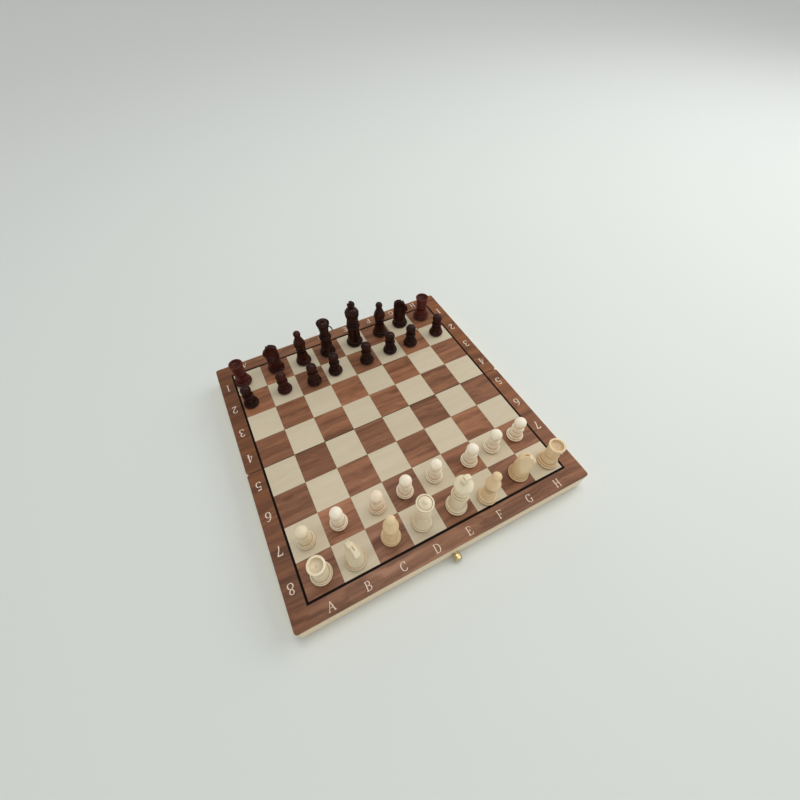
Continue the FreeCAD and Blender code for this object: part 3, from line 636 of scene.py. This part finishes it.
def foot(base, waist, waist_z):
    """Felt, plinth, ring and bell that every turned piece starts with."""
    radius = base / 2
    pad = radius - FELT_STEP
    ring = radius - RING_STEP
    stem = ring - STEM_STEP
    draw = stem - waist
    rise = waist_z - RING_TOP
    return [
        (0, 0),
        (pad - 0.2, 0),
        (pad - 0.05, 0.1, pad, 0.3),
        (pad, FELT),
        (radius - PLINTH_ROUND, FELT),
        (radius, (FELT + PLINTH_TOP) / 2, radius - PLINTH_ROUND, PLINTH_TOP),
        (ring - PLINTH_ROUND, PLINTH_TOP),
        (ring, (PLINTH_TOP + RING_TOP) / 2, ring - PLINTH_ROUND, RING_TOP),
        (stem, RING_TOP),
        (stem - 0.18 * draw, RING_TOP + 0.30 * rise, stem - 0.55 * draw, RING_TOP + 0.62 * rise),
        (waist + 0.14 * draw, RING_TOP + 0.84 * rise, waist, waist_z),
    ]


def collar(diameter, low, height):
    """Round ring on a stem."""
    radius = diameter / 2
    return [(radius - COLLAR_ROUND, low), (radius, low + height / 2, radius - COLLAR_ROUND, low + height)]


def ball(diameter, neck, top):
    """Ball on a neck, up to its top."""
    radius = diameter / 2
    middle = top - radius
    start = middle - math.sqrt(radius ** 2 - (neck / 2) ** 2)
    return [(neck / 2, start), (radius, middle, 0, top)]


def pawn_outline():
    collars = collar(12.4, 15.2, 2.0) + collar(11.4, 17.2, 1.4)
    return foot(17.0, 5.0, 15.2) + collars + [(4.6, 18.6)] + ball(11.8, 9.2, 31.0)


def rook_outline():
    return foot(19.8, 5.5, 17.0) + collar(13.8, 17.0, 1.8) + [
        (6.4, 18.8),
        (6.7, 25.6, 7.8, 32.0),
        (7.68, 32.28, 7.4, 32.4),
        (6.1, 32.4),
        (5.88, 32.31, 5.8, 32.1),
        (5.8, 31.28),
        (4.87, 30.08, 3.48, 29.6),
        (0.9, 29.6),
        (0.5, 29.9, 0, 30.0),
    ]


def bishop_outline():
    top_ball = ball(8.4, 6.0, 50.4)
    start = 23.9
    rise = top_ball[0][1] - start
    widest = 6.9
    shoulder = widest * 0.84
    neck = 3.0
    return foot(18.4, 4.6, 21.5) + collar(12.0, 21.5, 2.4) + [
        (4.7, start),
        (widest, start + 0.34 * rise, shoulder, start + 0.6 * rise),
        ((shoulder + neck) * 0.46, start + 0.84 * rise, neck, start + rise),
    ] + top_ball[1:]


def queen_outline():
    top_ball = ball(4.4, 3.52, 55.2)
    return foot(19.2, 5.8, 26.0) + collar(15.0, 26.0, 2.8) + collar(13.4, 28.8, 2.2) + [
        (5.2, 31.0),
        (5.75, 40.57, 7.7, 48.4),
        (7.7, 49.3),
        (7.58, 49.58, 7.3, 49.7),
        (6.6, 49.7),
        (6.38, 49.61, 6.3, 49.4),
        (6.3, 48.5),
        (5.04, 50.24, top_ball[0][0], top_ball[0][1]),
    ] + top_ball[1:]


def king_outline():
    collars = []
    for number in range(3):
        collars += collar(16.4 - 1.2 * number, 27.0 + 4.4 * number, 4.4)
    return foot(20.4, 6.4, 27.0) + collars + [
        (5.8, 40.2),
        (7.41, 43.49, 8.4, 50.4),
        (7.98, 51.5, 7.3, 52.6),
        (5.84, 54.84, 2.6, 56.6),
        (0, 56.6),
    ]


OUTLINES = {
    "pawn": pawn_outline,
    "rook": rook_outline,
    "bishop": bishop_outline,
    "queen": queen_outline,
    "king": king_outline,
}


# The king's cross in mm
CROSS_CORE = (3.0, 4.6, 3.0)
CROSS_MIDDLE = 61.46
ARM_ASIDE = 2.7
ARM_UP = 2.64
ARM_DOWN = 5.46
ARM_FLARE = (1.53, 1.0, 1.53)
CROSS_ROUND = 0.75


def add_cross(bm):
    """Stubby cross with flared arms on the king's dome: a core block with four arms drawn out of it."""
    cross = bmesh.new()
    core = bmesh.ops.create_cube(cross, size=1.0)["verts"]
    bmesh.ops.scale(cross, verts=core, vec=[side * MM for side in CROSS_CORE])
    bmesh.ops.translate(cross, verts=core, vec=(0, 0, CROSS_MIDDLE * MM))
    for face in [face for face in cross.faces if abs(face.normal.y) < 0.5]:
        way = face.normal.copy()
        reach = ARM_UP if way.z > 0.5 else ARM_DOWN
        if abs(way.x) > 0.5:
            reach = ARM_ASIDE
        out = bmesh.ops.extrude_discrete_faces(cross, faces=[face])["faces"][0]
        bmesh.ops.translate(cross, verts=out.verts[:], vec=way * reach * MM)
        centre = out.calc_center_median()
        for vert in out.verts:
            offset = vert.co - centre
            vert.co = centre + Vector([offset[k] * ARM_FLARE[k] for k in range(3)])
    close_up(cross)
    bmesh.ops.bevel(cross, geom=cross.edges[:], offset=CROSS_ROUND * MM, affect="EDGES", segments=3,
                    profile=0.5, clamp_overlap=True, material=-1)
    holder = bpy.data.meshes.new("cross")
    cross.to_mesh(holder)
    cross.free()
    bm.from_mesh(holder)
    bpy.data.meshes.remove(holder)


TURNED = {}


def piece_mesh(bm, kind):
    """A turned piece at the origin; each kind is turned once and then copied."""
    if kind in TURNED:
        bm.from_mesh(TURNED[kind])
        return
    turn_on_lathe(bm, OUTLINES[kind]())
    if kind == "king":
        add_cross(bm)
    TURNED[kind] = bpy.data.meshes.new("turned_" + kind)
    bm.to_mesh(TURNED[kind])


PIECE_KINDS = ["rook", "knight", "bishop", "queen", "king", "bishop", "knight", "rook"]


def piece_list():
    """Name, kind and colour of each piece."""
    listed = []
    for colour in ("light", "dark"):
        for file, kind in zip(FILES, PIECE_KINDS):
            single = kind in ("queen", "king")
            name = "%s_%s" % (colour, kind) if single else "%s_%s_%s" % (colour, kind, file)
            listed.append((name, kind, colour))
        for file in FILES:
            listed.append(("%s_pawn_%s" % (colour, file), "pawn", colour))
    return listed


BASE_HIGH = 5 * MM


def knight_place(name, low):
    """Middle of a knight's base, from the lowest points of its solid."""
    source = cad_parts[name]
    places = [source.matrix_world @ vert.co for vert in source.data.vertices]
    base = [place for place in places if place.z < low.z + BASE_HIGH]
    x = (min(p.x for p in base) + max(p.x for p in base)) / 2
    y = (min(p.y for p in base) + max(p.y for p in base)) / 2
    return Vector((x, y, low.z))


ODD_WOODS = [
    (IVORY, ("light_king", "light_queen", "light_knight_b", "light_rook_a", "light_pawn_a")),
    (TAN, ("light_bishop_c", "light_bishop_f", "light_knight_g", "light_rook_h")),
    (PALE_TAN, ("light_pawn_c",)),
    (RED_BROWN, ("dark_rook_a", "dark_rook_h")),
    (DARK_RED, ("dark_knight_b", "dark_bishop_c", "dark_pawn_b", "dark_pawn_h")),
]


def piece_finish(name, colour):
    for material, names in ODD_WOODS:
        if name in names:
            return material
    return BLACK_BROWN if colour == "dark" else CREAM


def place_piece(bm, name, colour, spot):
    """Put a piece on its square, with felt on the faces under its wood."""
    for face in bm.faces:
        face.material_index = 1 if face.calc_center_median().z < FELT * MM - SAME_POINT else 0
    bmesh.ops.translate(bm, verts=bm.verts[:], vec=spot)
    made = finish_piece(bm, "turned_" + name, [piece_finish(name, colour), BROWN_FELT])
    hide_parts(name)
    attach(made, name + "_body")


# Where each horse looks, in degrees
KNIGHT_TURN = {"light_knight_b": 104, "light_knight_g": -28, "dark_knight_b": 156, "dark_knight_g": -22}
# Measures of a knight in mm: its base, the height and the rise over which its head is pared, and how far
# from the middle of a groove the painted shade ends and fades
KNIGHT_BASE = 19.6
PARE_START = 13
PARE_RISE = 20
SHADE_END = 0.585
SHADE_FADE = 0.45
PARE_SHARE = 0.34
CARVING_GRAIN = 0.34 * MM
LONG_EDGE = 3 * MM


def pare_head(bm, turn):
    """Draw the sides of a horse's head in towards its ridge."""
    side = Vector((-math.sin(turn), math.cos(turn), 0))
    for vert in bm.verts:
        rise = clamped((vert.co.z / MM - PARE_START) / PARE_RISE)
        share = PARE_SHARE * rise * rise * (3 - 2 * rise)
        vert.co -= side * vert.co.dot(side) * share


def soften(mesh, grain):
    """The same shape with its carved edges rubbed round."""
    holder = bpy.data.objects.new("carving", mesh)
    scene.collection.objects.link(holder)
    even = holder.modifiers.new("even", "REMESH")
    even.mode = "VOXEL"
    even.voxel_size = grain
    rub = holder.modifiers.new("rub", "SMOOTH")
    rub.factor = 0.5
    rub.iterations = 5
    solved = holder.evaluated_get(bpy.context.evaluated_depsgraph_get())
    done = bpy.data.meshes.new_from_object(solved)
    bpy.data.objects.remove(holder)
    return done


def outer_shell(bm):
    """Keep only the largest closed shell."""
    left = set(bm.verts)
    shells = []
    while left:
        shell = set()
        edge = [left.pop()]
        while edge:
            vert = edge.pop()
            shell.add(vert)
            for near in (link.other_vert(vert) for link in vert.link_edges):
                if near in left:
                    left.remove(near)
                    edge.append(near)
        shells.append(shell)
    shells.sort(key=lambda shell: max(v.co.z for v in shell) - min(v.co.z for v in shell))
    for shell in shells[:-1]:
        bmesh.ops.delete(bm, geom=list(shell), context="VERTS")


def knight_mesh(bm, name, spot):
    """The carved head and its base, from the solid's own faces, on a turned felt pad."""
    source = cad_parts[name]
    carved = bmesh.new()
    carved.from_mesh(source.data)
    carved.transform(Matrix.Translation(-spot) @ source.matrix_world)
    bmesh.ops.remove_doubles(carved, verts=carved.verts[:], dist=2 * SAME_POINT)
    outer_shell(carved)
    coarse = [edge for edge in carved.edges if edge.calc_length() > LONG_EDGE]
    bmesh.ops.subdivide_edges(carved, edges=coarse, cuts=4)
    pare_head(carved, math.radians(KNIGHT_TURN[name]))
    bmesh.ops.recalc_face_normals(carved, faces=carved.faces[:])
    mesh = bpy.data.meshes.new("carving")
    carved.to_mesh(mesh)
    carved.free()
    done = soften(mesh, CARVING_GRAIN)
    pad = foot(KNIGHT_BASE, 5.0, 12.0)[:4]
    turn_on_lathe(bm, pad + [(0, FELT - 0.01)])
    bm.from_mesh(done)
    layer = bm.verts.layers.float["groove"]
    # Painted shade along the grooves at the tops of the plinth and of the ring
    for vert in bm.verts:
        off = min(abs(vert.co.z / MM - groove) for groove in (PLINTH_TOP, RING_TOP))
        vert[layer] = clamped((SHADE_END - off) / SHADE_FADE)
    bpy.data.meshes.remove(done)
    bpy.data.meshes.remove(mesh)


def make_piece(name, kind, colour):
    low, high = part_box(name)
    bm = bmesh.new()
    if kind == "knight":
        spot = knight_place(name, low)
        knight_mesh(bm, name, spot)
    else:
        spot = Vector(((low.x + high.x) / 2, (low.y + high.y) / 2, low.z))
        piece_mesh(bm, kind)
    place_piece(bm, name, colour, spot)


bpy.context.view_layer.update()
for name, kind, colour in piece_list():
    make_piece(name, kind, colour)


# Felt glued under each half's top panel, inside the box

FELT_INSET = 0.3 * MM


def lay_felt(side):
    low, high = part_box(side + "_felt_lining")
    wide, deep, thick = high - low
    bm = bmesh.new()
    bmesh.ops.create_grid(bm, x_segments=60, y_segments=28, size=0.5)
    inset = 2 * FELT_INSET
    bmesh.ops.scale(bm, verts=bm.verts[:], vec=(wide - inset, deep - inset, 1))
    bmesh.ops.translate(bm, verts=bm.verts[:], vec=(low + high) / 2)
    made = finish_piece(bm, side + "_felt_sheet", [GREEN_FELT])
    body = made.modifiers.new("thickness", "SOLIDIFY")
    body.thickness = thick
    body.offset = 0
    edge = made.modifiers.new("cut_edge", "BEVEL")
    edge.width = 0.25 * thick
    edge.segments = 2
    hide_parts(side + "_felt_lining")
    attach(made, side + "_half")


for side in SIDES:
    lay_felt(side)


# Elastic loop on the far rail, along the same route as the solid one, in mm from the rail's face

LOOP_ROUTE = [(2.2, -5.0, 0.0), (2.2, 3.5, 0.0), (4.8, 10.5, -0.2), (5.0, 17.0, -0.5), (2.4, 22.0, -0.8)]
LOOP_RADIUS = 0.9 * MM
LOOP_HIGH = 14 * MM
loop_root = Vector((0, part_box("far_outer_rail")[1].y, RIM_Z + LOOP_HIGH))
route = [loop_root + Vector(step) * MM for step in LOOP_ROUTE]
route += [Vector((-point.x, point.y, point.z)) for point in reversed(route)]


def cord_curve(name, points, radius, material):
    curve = bpy.data.curves.new(name, "CURVE")
    curve.dimensions = "3D"
    curve.bevel_depth = radius
    curve.bevel_resolution = 4
    curve.resolution_u = 16
    curve.use_fill_caps = True
    spline = curve.splines.new("NURBS")
    spline.points.add(len(points) - 1)
    for target, point in zip(spline.points, points):
        target.co = (point.x, point.y, point.z, 1)
    spline.order_u = 3
    spline.use_endpoint_u = True
    curve.materials.append(material)
    made = bpy.data.objects.new(name, curve)
    scene.collection.objects.link(made)
    return made


loop = cord_curve("clasp_loop", route, LOOP_RADIUS, BRAID)
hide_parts("elastic_loop")
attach(loop, "far_half")


# Coordinates printed on the border

# Each sign is a list of pen strokes in a box one unit high: B is a broad stroke, F a fine one and P a pen
# stroke that is broad where it runs upright and fine where it runs level
BROAD = 0.12
FINE = 0.06
ROUND_C = [(0.66, 0.78), (0.59, 0.93), (0.42, 1.0), (0.2, 0.93), (0.07, 0.74), (0.04, 0.5), (0.07, 0.26),
           (0.2, 0.07), (0.42, 0.0), (0.59, 0.07), (0.68, 0.22)]
LEFT_STEM = [
    ("B", [(0.14, 0.0), (0.14, 1.0)]),
    ("F", [(0.0, 0.0), (0.27, 0.0)]),
    ("F", [(0.0, 1.0), (0.27, 1.0)]),
]
SIGNS = {
    "A": [
        ("F", [(0.02, 0.0), (0.38, 1.0)]),
        ("B", [(0.37, 1.0), (0.72, 0.0)]),
        ("F", [(0.15, 0.36), (0.58, 0.36)]),
        ("F", [(-0.08, 0.0), (0.14, 0.0)]),
        ("F", [(0.58, 0.0), (0.84, 0.0)]),
    ],
    "B": LEFT_STEM + [
        ("P", [(0.14, 1.0), (0.38, 1.0), (0.54, 0.91), (0.58, 0.77), (0.53, 0.62), (0.38, 0.53),
               (0.14, 0.53)]),
        ("P", [(0.14, 0.53), (0.42, 0.53), (0.6, 0.43), (0.66, 0.27), (0.6, 0.1), (0.42, 0.0),
               (0.14, 0.0)]),
    ],
    "C": [
        ("P", ROUND_C),
        ("F", [(0.66, 0.68), (0.66, 1.0)]),
    ],
    "D": LEFT_STEM + [
        ("P", [(0.14, 1.0), (0.42, 1.0), (0.63, 0.88), (0.73, 0.66), (0.74, 0.5), (0.73, 0.34),
               (0.63, 0.12), (0.42, 0.0), (0.14, 0.0)]),
    ],
    "E": LEFT_STEM + [
        ("F", [(0.14, 1.0), (0.6, 1.0)]),
        ("F", [(0.14, 0.52), (0.46, 0.52)]),
        ("F", [(0.14, 0.0), (0.64, 0.0)]),
        ("F", [(0.6, 1.0), (0.6, 0.8)]),
        ("F", [(0.46, 0.63), (0.46, 0.41)]),
        ("F", [(0.64, 0.0), (0.65, 0.22)]),
    ],
    "F": LEFT_STEM + [
        ("F", [(0.14, 1.0), (0.62, 1.0)]),
        ("F", [(0.14, 0.5), (0.46, 0.5)]),
        ("F", [(0.62, 1.0), (0.62, 0.78)]),
        ("F", [(0.46, 0.61), (0.46, 0.39)]),
    ],
    "G": [
        ("P", ROUND_C[:-1] + [(0.64, 0.12)]),
        ("F", [(0.66, 0.68), (0.66, 1.0)]),
        ("B", [(0.64, 0.04), (0.64, 0.42)]),
        ("F", [(0.5, 0.42), (0.78, 0.42)]),
    ],
    "H": LEFT_STEM + [
        ("B", [(0.66, 0.0), (0.66, 1.0)]),
        ("F", [(0.14, 0.52), (0.66, 0.52)]),
        ("F", [(0.53, 0.0), (0.8, 0.0)]),
        ("F", [(0.53, 1.0), (0.8, 1.0)]),
    ],
    "1": [
        ("B", [(0.26, 0.0), (0.26, 1.0)]),
        ("F", [(0.26, 0.99), (0.08, 0.88)]),
        ("F", [(0.08, 0.0), (0.44, 0.0)]),
    ],
    "2": [
        ("P", [(0.06, 0.74), (0.11, 0.92), (0.27, 1.0), (0.45, 0.93), (0.52, 0.76), (0.45, 0.56),
               (0.28, 0.34), (0.05, 0.03)]),
        ("B", [(0.05, 0.05), (0.5, 0.05)]),
        ("F", [(0.5, 0.0), (0.55, 0.22)]),
    ],
    "3": [
        ("P", [(0.07, 0.82), (0.14, 0.95), (0.28, 1.0), (0.43, 0.93), (0.48, 0.78), (0.43, 0.63),
               (0.24, 0.54)]),
        ("P", [(0.24, 0.54), (0.45, 0.45), (0.53, 0.27), (0.46, 0.08), (0.27, 0.0), (0.11, 0.05),
               (0.04, 0.2)]),
    ],
    "4": [
        ("F", [(0.4, 1.0), (0.02, 0.28)]),
        ("F", [(0.02, 0.28), (0.58, 0.28)]),
        ("B", [(0.4, 0.0), (0.4, 1.0)]),
        ("F", [(0.24, 0.0), (0.56, 0.0)]),
    ],
    "5": [
        ("F", [(0.13, 1.0), (0.09, 0.52)]),
        ("B", [(0.13, 0.96), (0.48, 0.96)]),
        ("P", [(0.09, 0.52), (0.24, 0.62), (0.42, 0.57), (0.52, 0.42), (0.53, 0.26), (0.43, 0.07),
               (0.24, 0.0), (0.1, 0.05), (0.03, 0.19)]),
    ],
    "6": [
        ("P", [(0.52, 0.93), (0.37, 0.95), (0.18, 0.78), (0.07, 0.52), (0.06, 0.26), (0.14, 0.07),
               (0.3, 0.0), (0.46, 0.08), (0.54, 0.28), (0.47, 0.49), (0.32, 0.57), (0.16, 0.5),
               (0.07, 0.34)]),
    ],
    "7": [
        ("B", [(0.04, 0.95), (0.54, 0.95)]),
        ("F", [(0.04, 1.0), (0.02, 0.78)]),
        ("P", [(0.54, 0.95), (0.36, 0.56), (0.26, 0.26), (0.23, 0.0)]),
    ],
    "8": [
        ("P", [(0.3, 1.0), (0.15, 0.93), (0.1, 0.78), (0.17, 0.64), (0.3, 0.55), (0.43, 0.64),
               (0.5, 0.78), (0.45, 0.93), (0.3, 1.0)]),
        ("P", [(0.3, 0.55), (0.12, 0.44), (0.04, 0.26), (0.12, 0.07), (0.3, 0.0), (0.48, 0.07),
               (0.56, 0.26), (0.48, 0.44), (0.3, 0.55)]),
    ],
}
EASE_STEPS = 5


def eased(points):
    """More points along a stroke, so that its bends are smooth."""
    if len(points) < 4:
        return [Vector(point) for point in points]
    closed = points[0] == points[-1]
    before = points[-2] if closed else points[0]
    after = points[1] if closed else points[-1]
    row = [Vector(point) for point in [before] + points + [after]]
    smooth = []
    for a, b, c, d in zip(row, row[1:], row[2:], row[3:]):
        for step in range(EASE_STEPS):
            t = step / EASE_STEPS
            bend = 2 * a - 5 * b + 4 * c - d
            twist = 3 * b - a - 3 * c + d
            smooth.append(0.5 * (2 * b + (c - a) * t + bend * t ** 2 + twist * t ** 3))
    return smooth + [row[-2]]


def pen_stroke(bm, kind, points, high):
    """A flat ribbon along a stroke."""
    row = eased(points)
    pairs = []
    for number, point in enumerate(row):
        way = (row[min(number + 1, len(row) - 1)] - row[max(number - 1, 0)]).normalized()
        wide = {"B": BROAD, "F": FINE}.get(kind, FINE + (BROAD - FINE) * abs(way.y) ** 1.5)
        side = Vector((-way.y, way.x)) * wide / 2
        pairs.append([bm.verts.new((spot.x, spot.y, high)) for spot in (point + side, point - side)])
    for before, after in zip(pairs, pairs[1:]):
        bm.faces.new((before[0], before[1], after[1], after[0]))


# Measures of the print: each stroke of a sign lies a little above the one before
STROKE_LIFT = 0.0006
INK_Z = TOP_Z + 0.01 * MM
LETTER_HIGH = 7.3
DIGIT_HIGH = 9.0
LETTER_OFF = HALF_FIELD + 9.8 * MM
DIGIT_OFF = HALF_FIELD + 8.8 * MM


def print_sign(sign, x, y, turn, body, height):
    centre = Vector((x, y, INK_Z))
    bm = bmesh.new()
    for number, (kind, points) in enumerate(SIGNS[sign]):
        pen_stroke(bm, kind, points, STROKE_LIFT * (number + 1))
    middle = (max(v.co.x for v in bm.verts) + min(v.co.x for v in bm.verts)) / 2
    bmesh.ops.recalc_face_normals(bm, faces=bm.faces[:])
    for face in bm.faces:
        if face.normal.z < 0:
            face.normal_flip()
    size = Matrix.Scale(height * MM, 4) @ Matrix.Translation((-middle, -0.5, 0))
    bm.transform(Matrix.Translation(centre) @ Matrix.Rotation(turn, 4, "Z") @ size)
    name = "coordinate_%s_%s_%d" % (sign, body, round(centre.x * 1000) + 200)
    made = finish_piece(bm, name, [COORDINATE_INK])
    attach(made, body)


for number, file in enumerate(FILES.upper()):
    x = (number - 3.5) * SQUARE
    print_sign(file, x, SEAM_Y - LETTER_OFF, 0, "near_half", LETTER_HIGH)
    print_sign(file, x, SEAM_Y + LETTER_OFF, math.pi, "far_half", LETTER_HIGH)
for rank in range(1, 9):
    y = (4.5 - rank) * SQUARE + SEAM_Y
    half = "near_half" if rank > 4 else "far_half"
    for x in (-DIGIT_OFF, DIGIT_OFF):
        print_sign(str(rank), x, y, math.pi, half, DIGIT_HIGH)


# Floor, light and camera

FLOOR_HALF = 9.0
FLOOR_GREYS = ((0.780, 0.815, 0.775, 1), (0.795, 0.830, 0.790, 1))
FLOOR_FAR_PAINTED_LIGHT = (0.94, 0.96, 0.94, 1)
BACKDROP = (0.62, 0.65, 0.62, 1)
LIGHT_AT_HORIZON = (2.0, 2.0, 2.0, 1)
LIGHT_ABOVE = (0.31, 0.31, 0.31, 1)
LIGHT_BELOW = (0.40, 0.40, 0.40, 1)
PICTURE_PIXELS = 800
FOCAL_PIXELS = 383.38
FILM_WIDE = 36.0


def add_floor():
    """Pale matt floor whose colour gets lighter away from the board: painted light that makes up for the
    lamps' falloff.
    """
    bm = bmesh.new()
    bmesh.ops.create_grid(bm, x_segments=1, y_segments=1, size=FLOOR_HALF)
    floor = finish_piece(bm, "floor", [])
    material, w, shader, place = new_material("floor_paint", 0.6, specular=0.3)
    off = w.node("ShaderNodeVectorMath", operation="LENGTH")
    w.join(place, off.inputs[0])
    # Painted light: the floor's colour turns lighter away from the board
    away = w.range(off.outputs["Value"], 0.4, 2.4)
    cloud = w.mix(w.noise(place, 2.0, 2.0), FLOOR_GREYS[0], FLOOR_GREYS[1])
    w.join(w.mix(away, cloud, FLOOR_FAR_PAINTED_LIGHT), shader.inputs["Base Color"])
    floor.data.materials.append(material)


def add_light(name, place, aim, size, watts):
    light = bpy.data.lights.new(name, "AREA")
    light.shape = "DISK"
    light.size = size
    light.energy = watts
    made = bpy.data.objects.new(name, light)
    made.location = place
    made.rotation_euler = (Vector(aim) - Vector(place)).to_track_quat("-Z", "Y").to_euler()
    scene.collection.objects.link(made)


def add_camera():
    """Camera at the photograph's place, given in squares from the outer corner of A8."""
    eye = Vector((1.2351, -2.1168, 10.6177))
    drop = math.radians(53.253)
    heading = math.radians(24.178)
    roll = math.radians(-2.423)
    level_ahead = Vector((math.sin(heading), math.cos(heading), 0))
    ahead = level_ahead * math.cos(drop) - Vector((0, 0, math.sin(drop)))
    level_right = Vector((math.cos(heading), -math.sin(heading), 0))
    right = level_right * math.cos(roll) + level_right.cross(ahead) * math.sin(roll)
    up = right.cross(ahead)
    camera = bpy.data.cameras.new("camera")
    camera.sensor_width = FILM_WIDE
    camera.lens = FOCAL_PIXELS * FILM_WIDE / PICTURE_PIXELS
    camera.shift_x = 0.024625
    camera.shift_y = -0.015625
    made = bpy.data.objects.new("camera", camera)
    corner = Vector((-HALF_FIELD, SEAM_Y - HALF_FIELD, TOP_Z))
    basis = Matrix((right, up, -ahead)).transposed().to_4x4()
    made.matrix_world = Matrix.Translation(corner + eye * SQUARE) @ basis
    scene.collection.objects.link(made)
    scene.camera = made


def add_world():
    """Soft light, strongest at the horizon, and an even pale backdrop for the camera and reflections."""
    world = bpy.data.worlds.new("studio")
    world.use_nodes = True
    w = Wiring(world.node_tree)
    back = world.node_tree.nodes["Background"]
    path = w.node("ShaderNodeLightPath")
    seen = w.maths("MAXIMUM", path.outputs["Is Camera Ray"], path.outputs["Is Glossy Ray"])
    seen = w.maths("MAXIMUM", seen, path.outputs["Is Transmission Ray"])
    rise = w.split(w.place("Generated"))["Z"]
    light = w.mix(w.range(rise, 0.0, 0.5), LIGHT_AT_HORIZON, LIGHT_ABOVE)
    light = w.mix(w.range(rise, -0.05, 0.0), LIGHT_BELOW, light)
    w.join(w.mix(seen, light, BACKDROP), back.inputs["Color"])
    scene.world = world


add_floor()
add_light("ceiling", (0.05, 0.15, 1.6), (0.05, 0, 0), 1.1, 2.6)
add_light("lamp", (0.05, 0.15, 1.55), (0.05, 0, 0), 0.45, 3.4)
add_light("window", (1.3, 0.0, 1.2), (0, 0, 0), 1.4, 10.0)
add_camera()
add_world()
scene.view_settings.view_transform = "Standard"
